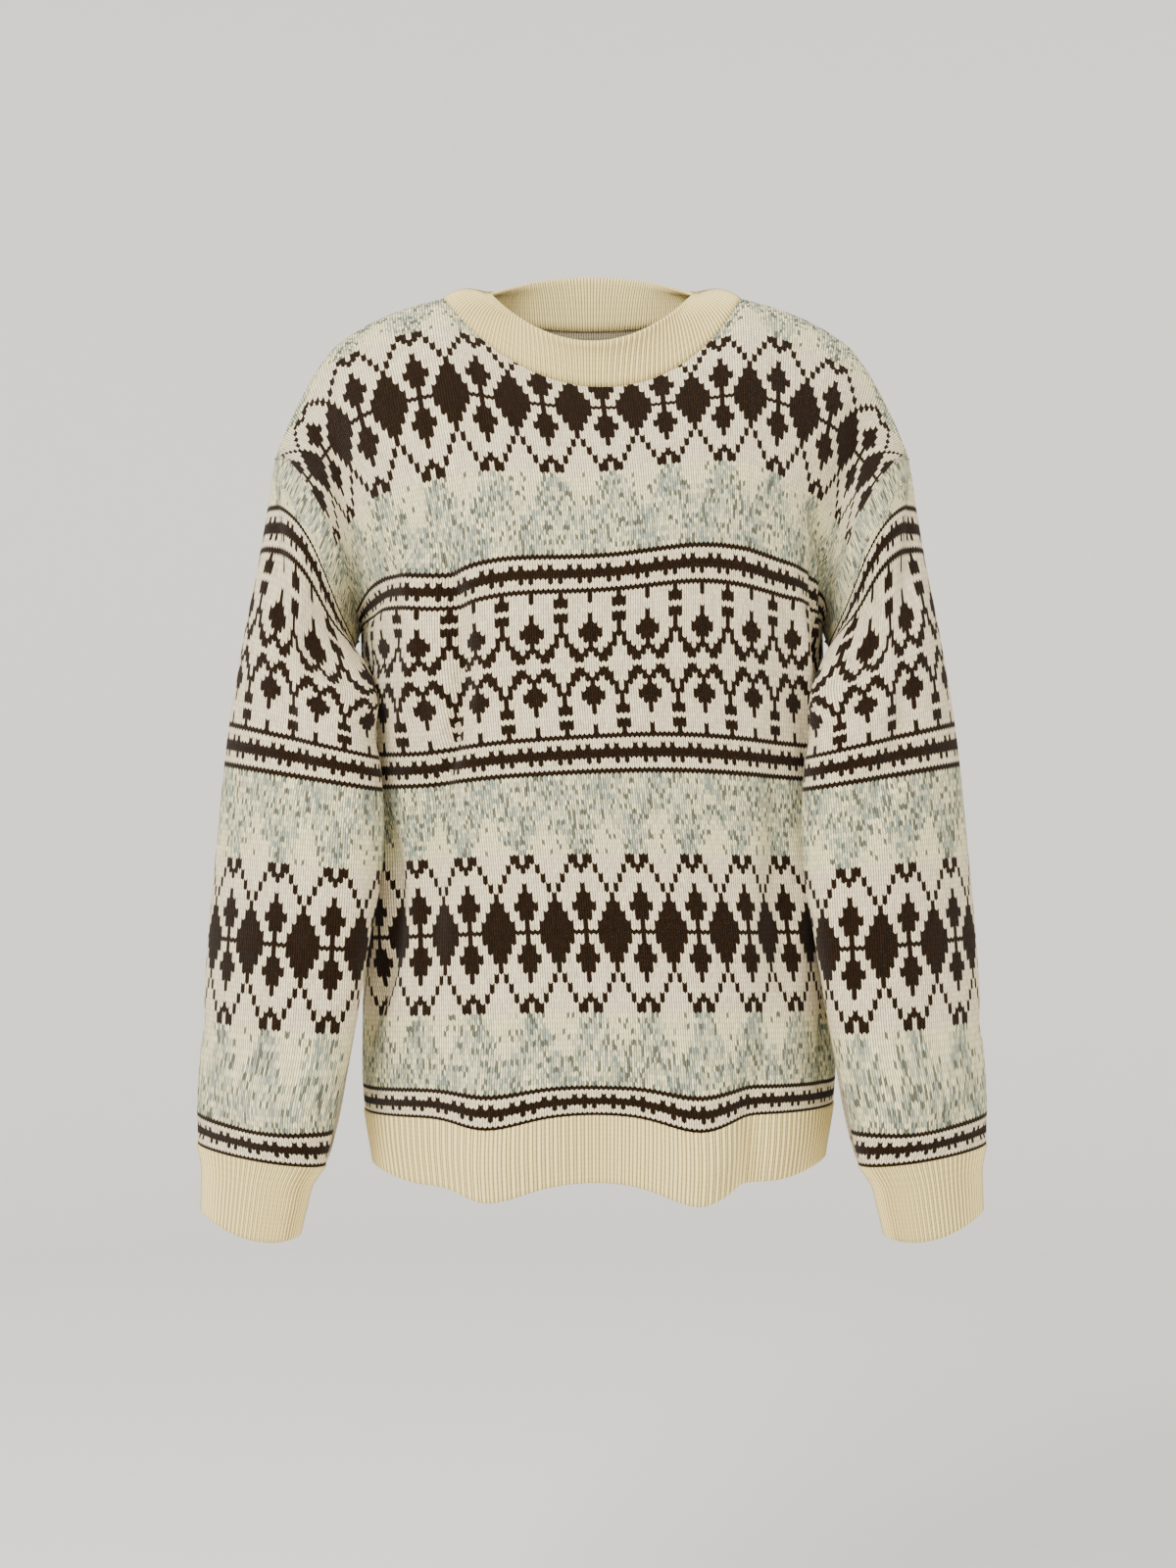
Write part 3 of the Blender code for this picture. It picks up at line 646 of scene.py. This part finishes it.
BODY_BANDS = "border marl3 lattice marl2 border posts border marl1 lattice marl0".split()
SLEEVE_BANDS = "border marl3 lattice marl2 border posts border marl0".split()
BAND_ROWS = {"border": 8, "lattice": 33, "posts": 29, "marl3": 14, "marl2": 16, "marl1": 17, "marl0": 18}


def folded(c):
    """The column of a mirrored chart for a stitch."""
    c = np.abs(c) % CHART_REPEAT
    return np.minimum(c, CHART_REPEAT - c)


def row_plan(bands, rows):
    """For each row, its band and its row in that band."""
    plan = [(band, k) for band in bands for k in range(BAND_ROWS[band])]
    return plan[:rows]


print("rows charted for the body:", sum(BAND_ROWS[band] for band in BODY_BANDS))

# %% [markdown]
# ## Yarn colours
# The yarns: cream for the ribs, a natural white for the grounds, a dark brown, and a mottled pale
# blue-grey and oatmeal between the bands. Here and there a leg is painted a darker grey, as painted
# shade for the dark gaps between stitches. Wool is never one flat colour, so each leg of a stitch is a
# touch lighter or darker.

# %% Yarns and the colour of every stitch


def linear(r, g, b):
    """A screen colour, 0 to 255, as the linear colour that a shader takes."""
    v = np.array([r, g, b]) / 255
    return np.where(v <= 0.04045, v / 12.92, ((v + 0.055) / 1.055) ** 2.4)


CREAM = linear(232, 210, 144)
GROUND = linear(228, 212, 176)
OATMEAL = linear(238, 226, 176)
BROWN = linear(36, 24, 13)
BLUE = linear(136, 146, 132)
# Painted shade: a darker grey that stands for the dark gaps between stitches.
GAP_PAINTED_SHADE = linear(98, 100, 83)
chance = np.random.default_rng(7)


def marl_row(stitches, apart):
    """Both legs of each stitch of a mottled row, a number of rows away from the nearest lattice."""
    from_gap = CHART_REPEAT // 2 - folded(stitches)
    legs = 2 * len(stitches)
    plain = np.repeat(from_gap, 2) + chance.normal(0.0, 0.8, legs) < 4.4 - 0.55 * apart
    tone = 0.52 + 0.22 * np.cos(2 * np.pi * stitches / CHART_REPEAT) * math.cos(math.pi * apart / 14)
    blue = np.repeat(tone, 2) + chance.normal(0.0, 0.34, legs)
    blue = np.where(plain, 0.10, np.clip(blue, 0.0, 1.0))[:, None]
    yarn = OATMEAL * (1 - blue) + BLUE * blue
    # Some legs take the darker grey: painted shade for the gaps between stitches, more often in the mottled
    # rows.
    painted_gap_shade = chance.random(legs) < np.where(plain, 0.05, 0.15)
    return np.where(painted_gap_shade[:, None], GAP_PAINTED_SHADE, yarn)


def band_colours(stitches, bands, rows):
    """The colour of both legs of every stitch, rows by legs."""
    made = np.zeros((rows, 2 * len(stitches), 3))
    for i, (band, k) in enumerate(row_plan(bands, rows)):
        if band.startswith("marl"):
            above = band in ("marl3", "marl1")
            made[i] = marl_row(stitches, BAND_ROWS[band] - 1 - k if above else k)
            continue
        if band == "border":
            dark = np.isin(stitches % BORDER_REPEAT, BORDER[k])
        else:
            chart = LATTICE if band == "lattice" else POSTS
            shift = 0 if band == "lattice" else CHART_REPEAT // 2
            line = np.array([mark == "#" for mark in chart[k]])
            dark = line[folded(stitches + shift)]
        made[i] = np.where(np.repeat(dark, 2)[:, None], BROWN, GROUND)
    tone_and_painted_shading = 1.0 + chance.normal(0.0, 0.08, made.shape[:2])
    return np.clip(made * tone_and_painted_shading[..., None], 0.0, 1.0)


dark_marks = sum(line.count("#") for line in LATTICE)
print("dark marks in the lattice chart:", dark_marks, "of", 7 * len(LATTICE))

# %% [markdown]
# ## Yarn as a material
# The colour comes from the stitches themselves, and painted shade darkens it in the valleys between
# the strands and lightens it on their crowns. The bump uses map coordinates that count stitches and
# rows, so each leg of each V is a rounded, twisted strand. Wool scatters light and hardly shines, so
# the material is quite matt.

# %% The knit shader
TWIST_SHARE = 0.07
FIBRE_SHARE = 0.25
FIBRE_SCALE = 1400.0
STRAND_RELIEF = 0.0009
# Painted shading: how dark the colour is painted in the valleys between strands, and how much the strand's
# rounding lightens it.
VALLEY_PAINTED_SHADE = 0.06
STRAND_PAINTED_SHADING = 1.28


def knit_material(name, own_colour=None, row_depth=0.22):
    """A wool material, by default in the colour of each stitch, with painted shading of its strands.
    row_depth says how far rows show.
    """
    made = bpy.data.materials.new(name)
    made.use_nodes = True
    tree = made.node_tree
    shader = tree.nodes["Principled BSDF"]

    def math_node(operation, a, b=None):
        node = tree.nodes.new("ShaderNodeMath")
        node.operation = operation
        for socket, value in zip(node.inputs, (a, b)):
            if isinstance(value, (int, float)):
                socket.default_value = value
            elif value is not None:
                tree.links.new(value, socket)
        return node.outputs[0]

    grid = tree.nodes.new("ShaderNodeUVMap")
    grid.uv_map = "stitches"
    split = tree.nodes.new("ShaderNodeSeparateXYZ")
    tree.links.new(grid.outputs[0], split.inputs[0])
    u, v = split.outputs[0], split.outputs[1]
    leg = math_node("FRACT", math_node("MULTIPLY", u, 2.0))
    round_leg = math_node("SINE", math_node("MULTIPLY", leg, math.pi))
    round_row = math_node("SINE", math_node("MULTIPLY", math_node("FRACT", v), math.pi))
    across_leg = math_node("POWER", math_node("ABSOLUTE", round_leg), 0.7)
    along_leg = math_node("ADD", math_node("MULTIPLY", round_row, row_depth), 1.0 - row_depth)
    strand = math_node("MULTIPLY", across_leg, along_leg)
    slant = math_node("ADD", leg, math_node("MULTIPLY", v, 2.0))
    twist = math_node("SINE", math_node("MULTIPLY", slant, 12.0))
    height = math_node("ADD", strand, math_node("MULTIPLY", twist, TWIST_SHARE))
    fibres = tree.nodes.new("ShaderNodeTexNoise")
    fibres.inputs["Scale"].default_value = FIBRE_SCALE
    fibres.inputs["Detail"].default_value = 2.0
    place = tree.nodes.new("ShaderNodeTexCoord")
    tree.links.new(place.outputs["Object"], fibres.inputs["Vector"])
    height = math_node("ADD", height, math_node("MULTIPLY", fibres.outputs["Fac"], FIBRE_SHARE))
    bump = tree.nodes.new("ShaderNodeBump")
    bump.inputs["Strength"].default_value = 0.75
    bump.inputs["Distance"].default_value = STRAND_RELIEF
    tree.links.new(height, bump.inputs["Height"])
    tree.links.new(bump.outputs[0], shader.inputs["Normal"])

    # Painted shading: the yarn colour is darkened in the valleys between strands and lightened on their
    # crowns, where shade and light would fall, plus a little random fibre tone.
    tone_and_painted_shading = math_node("ADD", math_node("MULTIPLY", strand, STRAND_PAINTED_SHADING), VALLEY_PAINTED_SHADE)
    tone_and_painted_shading = math_node("ADD", tone_and_painted_shading, math_node("MULTIPLY", fibres.outputs["Fac"], 0.10))
    yarn_with_painted_shading = tree.nodes.new("ShaderNodeVectorMath")
    yarn_with_painted_shading.operation = "SCALE"
    if own_colour is None:
        yarn = tree.nodes.new("ShaderNodeAttribute")
        yarn.attribute_name = "yarn"
        tree.links.new(yarn.outputs["Color"], yarn_with_painted_shading.inputs[0])
    else:
        yarn_with_painted_shading.inputs[0].default_value = tuple(own_colour)
    tree.links.new(tone_and_painted_shading, yarn_with_painted_shading.inputs["Scale"])
    tree.links.new(yarn_with_painted_shading.outputs[0], shader.inputs["Base Color"])
    shader.inputs["Roughness"].default_value = 1.0
    shader.inputs["Specular IOR Level"].default_value = 0.05
    shader.inputs["Sheen Weight"].default_value = 0.05
    shader.inputs["Sheen Roughness"].default_value = 0.45
    return made


knit = knit_material("stranded_knit")
rib_yarn = knit_material("cream_rib", CREAM, 0.10)
inside = knit_material("wrong_side", GROUND * 0.72)
print("materials:", knit.name, rib_yarn.name, inside.name)

# %% [markdown]
# ## From a grid of points to knitting
# In stocking stitch every stitch is a V. The points in the middle of each column are therefore half
# a row lower than those at its edges, so every face is one leg of a V and takes the colour of its
# stitch. Making the stitches as faces, and not as a picture, keeps every colour change sharp.

# %% A mesh with a colour for each face


def mesh_from(name, points, faces, colours, stitch_uv, slots, materials):
    """A mesh object, with a colour for each face and a place in the stitch grid for each corner."""
    used = np.unique(faces)
    place = np.zeros(len(points), dtype=int)
    place[used] = np.arange(len(used))
    points, faces = points[used], place[faces]
    mesh = bpy.data.meshes.new(name)
    mesh.from_pydata(points.tolist(), [], faces.tolist())
    stitch_uv = stitch_uv.reshape(-1, 2)
    uv = mesh.uv_layers.new(name="stitches")
    uv.data.foreach_set("uv", stitch_uv.astype(np.float32).ravel())
    low, high = stitch_uv.min(axis=0), stitch_uv.max(axis=0)
    flat = (stitch_uv - low) / (high - low) * 0.98 + 0.01
    plan = mesh.uv_layers.new(name="OFBake")
    plan.data.foreach_set("uv", flat.astype(np.float32).ravel())
    yarn = mesh.color_attributes.new(name="yarn", type="FLOAT_COLOR", domain="CORNER")
    rgba = np.concatenate([colours, np.ones((len(colours), 1))], axis=1)
    yarn.data.foreach_set("color", np.repeat(rgba, 4, axis=0).astype(np.float32).ravel())
    mesh.polygons.foreach_set("material_index", slots.astype(np.int32))
    mesh.polygons.foreach_set("use_smooth", np.ones(len(faces), dtype=bool))
    for material in materials:
        mesh.materials.append(material)
    mesh.update()
    made = bpy.data.objects.new(name, mesh)
    bpy.context.scene.collection.objects.link(made)
    return made


# %% [markdown]
# Faces that have shrunk to nothing at a shaped edge are left out, as stitches are cast off there. The
# inside of the knitting is a coarser grid one wall's thickness behind the outside, because nothing
# is patterned there and it is hardly seen.

# %% Knitting from a grid of points
INNER_STEP = 6


def quads(rows, cols, start=0, flip=False):
    """The faces of a grid of points, numbered row by row."""
    i, j = np.meshgrid(np.arange(rows - 1), np.arange(cols - 1), indexing="ij")
    a = start + i * cols + j
    made = np.stack([a, a + 1, a + cols + 1, a + cols], axis=-1).reshape(-1, 4)
    return made[:, ::-1] if flip else made


def real_faces(points, faces):
    """Which faces have any size."""
    a, b, c, d = (points[faces[:, k]] for k in range(4))
    return np.linalg.norm(np.cross(c - a, d - b), axis=1) > 1e-8


def knitted(name, half_rows, normals, stitch_at, colours, flip):
    """Knitting on a surface that is given at every half row and every half stitch."""
    cols = half_rows.shape[1]
    rows = (half_rows.shape[0] - 1) // 2
    middle = np.arange(cols) % 2 == 1
    lines = 2 * np.arange(rows + 1)[:, None] - middle[None, :]
    lines = np.maximum(lines, 0)
    outer = half_rows[lines, np.arange(cols)[None, :]]
    faces = quads(rows + 1, cols, 0, flip)
    across, up = np.meshgrid(stitch_at, np.arange(rows + 1))
    uv = np.stack([across, up], axis=-1).reshape(-1, 2)
    face_colours = colours.reshape(-1, 3)
    points = outer.reshape(-1, 3)

    row_at = np.unique(np.append(np.arange(0, half_rows.shape[0], INNER_STEP), half_rows.shape[0] - 1))
    col_at = np.unique(np.append(np.arange(0, cols, INNER_STEP), cols - 1))
    within = (half_rows - normals * WALL)[np.ix_(row_at, col_at)]
    inner_uv = np.stack(np.meshgrid(stitch_at[col_at], row_at / 2), axis=-1).reshape(-1, 2)
    inner_faces = quads(len(row_at), len(col_at), len(points), not flip)
    slots = np.concatenate([np.zeros(len(faces)), np.ones(len(inner_faces))])
    inner_colours = np.tile(GROUND, (len(inner_faces), 1))
    points = np.concatenate([points, within.reshape(-1, 3)])
    uv = np.concatenate([uv, inner_uv])
    faces = np.concatenate([faces, inner_faces])
    face_colours = np.concatenate([face_colours, inner_colours])
    keep = real_faces(points, faces)
    faces = faces[keep]
    return mesh_from(name, points, faces, face_colours[keep], uv[faces], slots[keep], [knit, inside])


# %% [markdown]
# ## Front and back
# The grid is worked out at every half stitch and half row of the panel, then pushed in or out by
# the creases. The back takes the same charts as the front, and both are counted out from the middle,
# so the motifs mirror each other at the side seams.

# %% Knit the two panels
half_stitches = (np.arange(2 * PANEL_STITCHES + 1) - PANEL_STITCHES) / 2
panel_scale = EDGE / half_stitches[-1]
half_row_at = np.arange(2 * TOP_ROW + 1) / 2
whole_stitches = np.arange(PANEL_STITCHES) - PANEL_STITCHES // 2
panels = {}
for name, face, creases, slides in (
    ("front_panel", FRONT, FRONT_CREASES, FRONT_SLIDES),
    ("back_panel", BACK, BACK_CREASES, BACK_SLIDES),
):
    surface = panel(half_stitches * panel_scale, half_row_at, face)
    ends = last_row(half_stitches * panel_scale, face)
    surface = slid(surface, half_stitches, half_row_at, ends, slides)
    normals = normals_of(surface, np.array([0.0, face, 0.0]))
    depth = crease_depth(half_stitches, half_row_at, creases)
    near_edge = smooth((EDGE - np.abs(half_stitches)) / 6.0)[None, :] * smooth(half_row_at / 5.0)[:, None]
    surface = surface + normals * (depth * near_edge)[..., None]
    colours = band_colours(whole_stitches, BODY_BANDS, TOP_ROW)
    panels[name] = knitted(name + "_knit", surface, normals, half_stitches, colours, face > 0)
    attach(panels[name], "root")
    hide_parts(name)
    print(name, len(panels[name].data.polygons), "legs of stitches")

# %% [markdown]
# ## Sleeves
# The stitches of a sleeve keep their width all the way down, and the underarm seam takes away the
# ones that there is no room for, as it does when a knitter narrows a sleeve towards the cuff. So the
# stitches are laid out from the outside of the arm, and stop at the seam.

# %% Lay the stitches round a sleeve
sleeve_half_stitches = (np.arange(2 * SLEEVE_STITCHES + 1) - SLEEVE_STITCHES) / 2
sleeve_stitches = np.arange(SLEEVE_STITCHES) - SLEEVE_STITCHES // 2
sleeve_half_rows = np.arange(2 * SLEEVE_ROWS + 1) / 2


def laid_round(row, side):
    """The points of a row of a sleeve at each half stitch, from the back of the arm to the front."""
    turns = np.linspace(0.0, 0.5, 81)
    ahead = sleeve_ring(row, turns, side)
    behind = sleeve_ring(row, 1.0 - turns - 1e-6 * (turns == 0), side)
    behind[0] = ahead[0]
    middle = (ahead[-1] + behind[-1]) / 2
    ahead[-1] = middle
    behind[-1] = middle
    made = np.zeros((len(sleeve_half_stitches), 3))
    for points, way in ((ahead, 1.0), (behind, -1.0)):
        length = np.concatenate([[0.0], np.cumsum(np.linalg.norm(np.diff(points, axis=0), axis=1))])
        width = max(STITCH, length[-1] / (SLEEVE_STITCHES / 2))
        mine = sleeve_half_stitches * way >= 0
        at = np.minimum(np.abs(sleeve_half_stitches[mine]) * width, length[-1])
        for axis in range(3):
            made[mine, axis] = np.interp(at, length, points[:, axis])
    return made


# %% [markdown]
# Both sleeves take the same tables, mirrored. One has its creases a little further round than the
# other, so that the pair match as two sleeves of one garment do and still aren't copies.

# %% Knit the two sleeves
RIGHT_SWAY, LEFT_SWAY = 1.0, 1.08
sleeves = {}
for name, side in (("sleeve_left", -1.0), ("sleeve_right", 1.0)):
    surface = np.array([laid_round(row, side) for row in sleeve_half_rows])
    ends = np.full(len(sleeve_half_stitches), SLEEVE_ROWS)
    surface = slid(surface, sleeve_half_stitches, sleeve_half_rows, ends, SLEEVE_SLIDES)
    normals = normals_of(surface, np.array([side, 0.0, 0.0]))
    sway = RIGHT_SWAY if side > 0 else LEFT_SWAY
    depth = crease_depth(sleeve_half_stitches, sleeve_half_rows, SLEEVE_CREASES, sway)
    near_edge = smooth(sleeve_half_rows / 4.0) * smooth((SLEEVE_ROWS - sleeve_half_rows) / 8.0)
    surface = surface + normals * (depth * near_edge[:, None])[..., None]
    colours = band_colours(sleeve_stitches, SLEEVE_BANDS, SLEEVE_ROWS)
    sleeves[name] = knitted(name + "_knit", surface, normals, sleeve_half_stitches, colours, side > 0)
    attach(sleeves[name], "root")
    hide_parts(name)
    print(name, len(sleeves[name].data.polygons), "legs of stitches")

# %% [markdown]
# ## Ribs
# A 1x1 rib is one knit column, one purl column, over and over. The knit columns stand up as cords
# and the purl columns sink out of sight. So a rib is a wall whose outer face is a row of rounded
# ridges, with the same V stitches on each ridge. Its free edge is rolled over, not cut off sharp.

# %% A wall of ribs
RIB_SAMPLES = 6
RIB_HEIGHT = 0.0013


def round_normals(rings):
    """Directions square to a closed band of points, all on one side of it."""
    padded = np.concatenate([rings[:, -1:], rings, rings[:, :1]], axis=1)
    n = np.cross(np.gradient(padded, axis=1), np.gradient(padded, axis=0))[:, 1:-1]
    return n / np.linalg.norm(n, axis=2, keepdims=True)


def ribbed(name, base, normals, ribs, rows, closed):
    """A ribbed wall on a grid of points, rows by columns, RIB_SAMPLES columns a rib."""
    tall, count = base.shape[:2]
    phase = np.arange(count + closed) / RIB_SAMPLES
    ridge = (0.5 - 0.5 * np.cos(2 * np.pi * phase[:count])) ** 0.7
    outer = base + normals * ((ridge - 0.35) * RIB_HEIGHT)[None, :, None]
    inner = base - normals * (WALL - ridge * 0.25 * RIB_HEIGHT)[None, :, None]
    lip = (outer[-1] + inner[-1]) / 2 + (base[-1] - base[-2]) * 0.30
    wall = np.concatenate([outer, lip[None], inner[::-1]])
    way_round = len(wall)
    corners = quads(way_round + 1, count + closed)
    line, rib = corners // (count + closed), corners % (count + closed)
    stitch_v = np.abs(np.linspace(-rows, rows, way_round + 1))
    uv = np.stack([phase[rib] + 0.5, stitch_v[line]], axis=-1)
    line = line % way_round
    if not closed:
        at_side = (rib == 0) | (rib == count - 1)
        line = np.where(at_side, np.minimum(line, 2 * tall - line), line)
    faces = line * count + rib % count
    points = wall.reshape(-1, 3)
    colours = np.tile(CREAM, (len(faces), 1))
    made = mesh_from(name, points, faces, colours, uv, np.zeros(len(faces)), [rib_yarn])
    middle = (tall // 2) * (count + closed - 1) + count // 2
    if made.data.polygons[middle].normal.dot(normals[tall // 2, count // 2].tolist()) < 0:
        made.data.flip_normals()
    print(name, ribs, "ribs of", round(rows), "rows")
    return made


# %% [markdown]
# ## Hem
# The hem ribs go on down the body's rings from the lowest patterned row, so they follow the same
# waves. Below the panel they draw in a little, because a rib is more elastic than stocking stitch.

# %% Knit the hem
HEM_RIBS = 94
HEMS = (("hem_rib_front", "front_panel", FRONT), ("hem_rib_back", "back_panel", BACK))
for name, panel_name, face in HEMS:
    columns = np.linspace(-EDGE, EDGE, HEM_RIBS * RIB_SAMPLES + 1)
    hem_rows = -np.linspace(0.0, HEM_ROWS, 16)
    base = panel(columns, hem_rows, face)
    normals = normals_of(base, np.array([0.0, face, 0.0]))
    hem = ribbed(name + "_knit", base, normals, HEM_RIBS, HEM_ROWS, False)
    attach(hem, "root")
    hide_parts(name)

# %% [markdown]
# ## Neckband
# The band is picked up round the neck edge of both panels and stands in and up from it. Its lower
# edge is the panels' own edge, found by walking along it, and its free edge is an oval.

# %% Walk along the neck edge
NECK_RIBS = 150
NECK_ROWS = 11
NECK_MIDDLE = -0.016
NECK_EDGE = 28.99


def walk(points, count):
    """Points at even steps round a closed line."""
    loop = np.concatenate([points, points[:1]])
    length = np.concatenate([[0.0], np.cumsum(np.linalg.norm(np.diff(loop, axis=0), axis=1))])
    at = np.arange(count) / count * length[-1]
    return np.stack([np.interp(at, length, loop[:, axis]) for axis in range(3)], axis=-1)


neck_line = []
for face in (FRONT, BACK):
    swing = np.linspace(-np.pi / 2, np.pi / 2, 61)[:-1] * -face
    columns = np.clip(NECK_STITCHES * np.sin(swing), -NECK_EDGE, NECK_EDGE)
    rows = last_row(columns, face)
    neck_line += [yoke(c, np.array([row]), face)[0] for c, row in zip(columns, rows)]
low = walk(np.array(neck_line), NECK_RIBS * RIB_SAMPLES)
neck_length = float(np.linalg.norm(np.diff(low, axis=0), axis=1).sum())
print("round the neck edge:", round(neck_length, 3), "m")

# %% [markdown]
# The free edge of the band is low in front and high behind, as the neck opening is. The band arches
# up a little between its two edges, since a rib is springy and never lies quite flat.

# %% Knit the neckband
OVAL_HALF_WIDTH = 0.0725
OVAL_AHEAD, OVAL_BEHIND = 0.0840, 0.044
OVAL_DIP, OVAL_RISE = 0.048, 0.019
BAND_ARCH = 0.0050
angle = np.arctan2(low[:, 0], -(low[:, 1] - NECK_MIDDLE))
ahead = np.maximum(0.0, np.cos(angle))
behind = np.maximum(0.0, -np.cos(angle))
high = np.stack(
    [
        OVAL_HALF_WIDTH * np.sin(angle),
        -OVAL_AHEAD * ahead**1.1 + OVAL_BEHIND * behind**1.1 - 0.004,
        0.003 - OVAL_DIP * ahead**1.7 + OVAL_RISE * behind**1.4,
    ],
    axis=-1,
)
base = []
for share in np.linspace(0.0, 1.0, 10):
    line = low + (high - low) * share
    line[:, 2] += BAND_ARCH * math.sin(math.pi * min(1.0, share * 1.1)) ** 0.9
    base.append(line)
base = np.array(base)
normals = round_normals(base)
front_middle = int(np.argmin(low[:, 1]))
if normals[4, front_middle, 1] > 0:
    normals = -normals
neckband = ribbed("neckband_knit", base, normals, NECK_RIBS, NECK_ROWS, True)
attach(neckband, "root")
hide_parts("neckband")

# %% [markdown]
# ## Cuffs
# A cuff starts on the lowest ring of its sleeve and draws in over its first rows, which is what makes
# the sleeve blouse out above it.

# %% Knit the cuffs
CUFF_RIBS = 74
CUFF_ROWS = 18
CUFF_BLOUSE = 0.010
CUFF_WAVE = 0.003
for name, side in (("cuff_left", -1.0), ("cuff_right", 1.0)):
    turns = np.arange(CUFF_RIBS * RIB_SAMPLES) / (CUFF_RIBS * RIB_SAMPLES)
    start = sleeve_ring(0.0, turns, side)
    rings = []
    for share in np.linspace(0.0, 1.0, 16):
        line = section(CUFF_STATIONS, share, turns, side)
        line[:, 2] -= CUFF_WAVE * share * np.cos(4 * np.pi * (turns - 0.27))
        draw_in = smooth(share / 0.25)
        line = start * (1.0 - draw_in) + line * draw_in
        line[:, 2] -= CUFF_BLOUSE * share * (1 - draw_in)
        rings.append(line)
    base = np.array(rings)
    normals = round_normals(base)
    if normals[8, 0, 0] * side < 0:
        normals = -normals
    cuff = ribbed(name + "_knit", base, normals, CUFF_RIBS, CUFF_ROWS, True)
    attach(cuff, "root")
    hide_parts(name)

# %% [markdown]
# ## The room
# A pale floor of paper bends up into a wall all the way round, so no corner or far edge of a floor
# lies behind the sweater from any side. One profile is turned round the middle, as a potter turns a
# bowl. The wall stands 3.4 m away, so a camera can walk right round the sweater inside it.

# %% A round paper sweep
SWEEP_RADIUS = 3.4
SWEEP_BEND = 1.2
SWEEP_HEIGHT = 4.2
SWEEP_SIDES = 96
FLOOR_HEIGHT = -1.05
profile = [(1.0, FLOOR_HEIGHT)]
for angle in np.linspace(0.0, np.pi / 2, 17):
    reach = SWEEP_RADIUS - SWEEP_BEND + SWEEP_BEND * math.sin(angle)
    profile.append((reach, FLOOR_HEIGHT + SWEEP_BEND * (1 - math.cos(angle))))
profile.append((SWEEP_RADIUS, FLOOR_HEIGHT + SWEEP_HEIGHT))
turns = np.arange(SWEEP_SIDES) * 2 * np.pi / SWEEP_SIDES
paper_points = [(r * math.cos(a), r * math.sin(a), z) for r, z in profile for a in turns]
paper_faces = [tuple(range(SWEEP_SIDES))]
for ring_number in range(len(profile) - 1):
    for place in range(SWEEP_SIDES):
        here = ring_number * SWEEP_SIDES + place
        beside = ring_number * SWEEP_SIDES + (place + 1) % SWEEP_SIDES
        paper_faces.append((here, here + SWEEP_SIDES, beside + SWEEP_SIDES, beside))
paper_mesh = bpy.data.meshes.new("paper_sweep")
paper_mesh.from_pydata(paper_points, [], paper_faces)
paper_mesh.polygons.foreach_set("use_smooth", np.ones(len(paper_faces), dtype=bool))
paper = bpy.data.objects.new("paper_sweep", paper_mesh)
bpy.context.scene.collection.objects.link(paper)
paper_look = bpy.data.materials.new("pale_paper")
paper_look.use_nodes = True
paper_shader = paper_look.node_tree.nodes["Principled BSDF"]
paper_shader.inputs["Base Color"].default_value = (*linear(240, 238, 234), 1.0)
paper_shader.inputs["Roughness"].default_value = 0.9
paper_mesh.materials.append(paper_look)
print("paper sweep of", len(paper_faces), "faces")

# %% [markdown]
# ## Light
# One large soft lamp high at the left, a weaker one at the right to open the shadows, one above, and
# an even pale sky for the rest. Soft light suits wool: it shows the folds without hard edges. Such a
# lamp lights only what lies ahead of it, so from behind the sweater the end of the key's light shows
# as a faint curve on the paper.

# %% Lamps and sky


def lamp(name, place, aim, size, power):
    """A square soft lamp that points at a place."""
    light = bpy.data.lights.new(name, "AREA")
    light.energy = power
    light.size = size
    made = bpy.data.objects.new(name, light)
    made.location = place
    away = np.array(aim) - np.array(place)
    tilt = math.atan2(away[2], math.hypot(away[0], away[1]))
    made.rotation_euler = (math.pi / 2 + tilt, 0.0, math.atan2(-away[0], away[1]))
    bpy.context.scene.collection.objects.link(made)
    print("lamp", name, round(float(np.linalg.norm(away)), 2), "m away")


chest = (0.0, 0.0, -0.30)
lamp("key", (-1.5, -2.2, 1.5), chest, 1.4, 132.0)
lamp("fill", (2.2, -1.8, 0.2), chest, 2.0, 24.0)
lamp("top", (0.3, 0.2, 2.2), chest, 1.6, 26.0)
sky = bpy.data.worlds.new("pale_sky")
sky.use_nodes = True
sky_light = sky.node_tree.nodes["Background"]
sky_light.inputs["Color"].default_value = (1.0, 0.985, 0.955, 1.0)
sky_light.inputs["Strength"].default_value = 0.68
bpy.context.scene.world = sky

# %% [markdown]
# ## Camera
# A level camera at the height of the waist, 1.9 m in front, with a field of view that covers 1.12 m
# from top to bottom there. From that far, near and distant parts of the sweater keep their real
# proportions, as they do to the eye.

# %% Camera
CAMERA_DISTANCE = 1.90
CAMERA_HEIGHT = -0.346
CAMERA_X = -0.0028
SEEN_HEIGHT = 1.12
camera_data = bpy.data.cameras.new("camera")
SENSOR_WIDTH = 36.0
camera_data.sensor_width = SENSOR_WIDTH
camera_data.lens = SENSOR_WIDTH * CAMERA_DISTANCE / SEEN_HEIGHT
camera = bpy.data.objects.new("camera", camera_data)
camera.location = (CAMERA_X, -CAMERA_DISTANCE, CAMERA_HEIGHT)
camera.rotation_euler = (math.pi / 2, 0.0, 0.0)
bpy.context.scene.collection.objects.link(camera)
bpy.context.scene.camera = camera
print("lens:", round(camera_data.lens, 1), "mm")
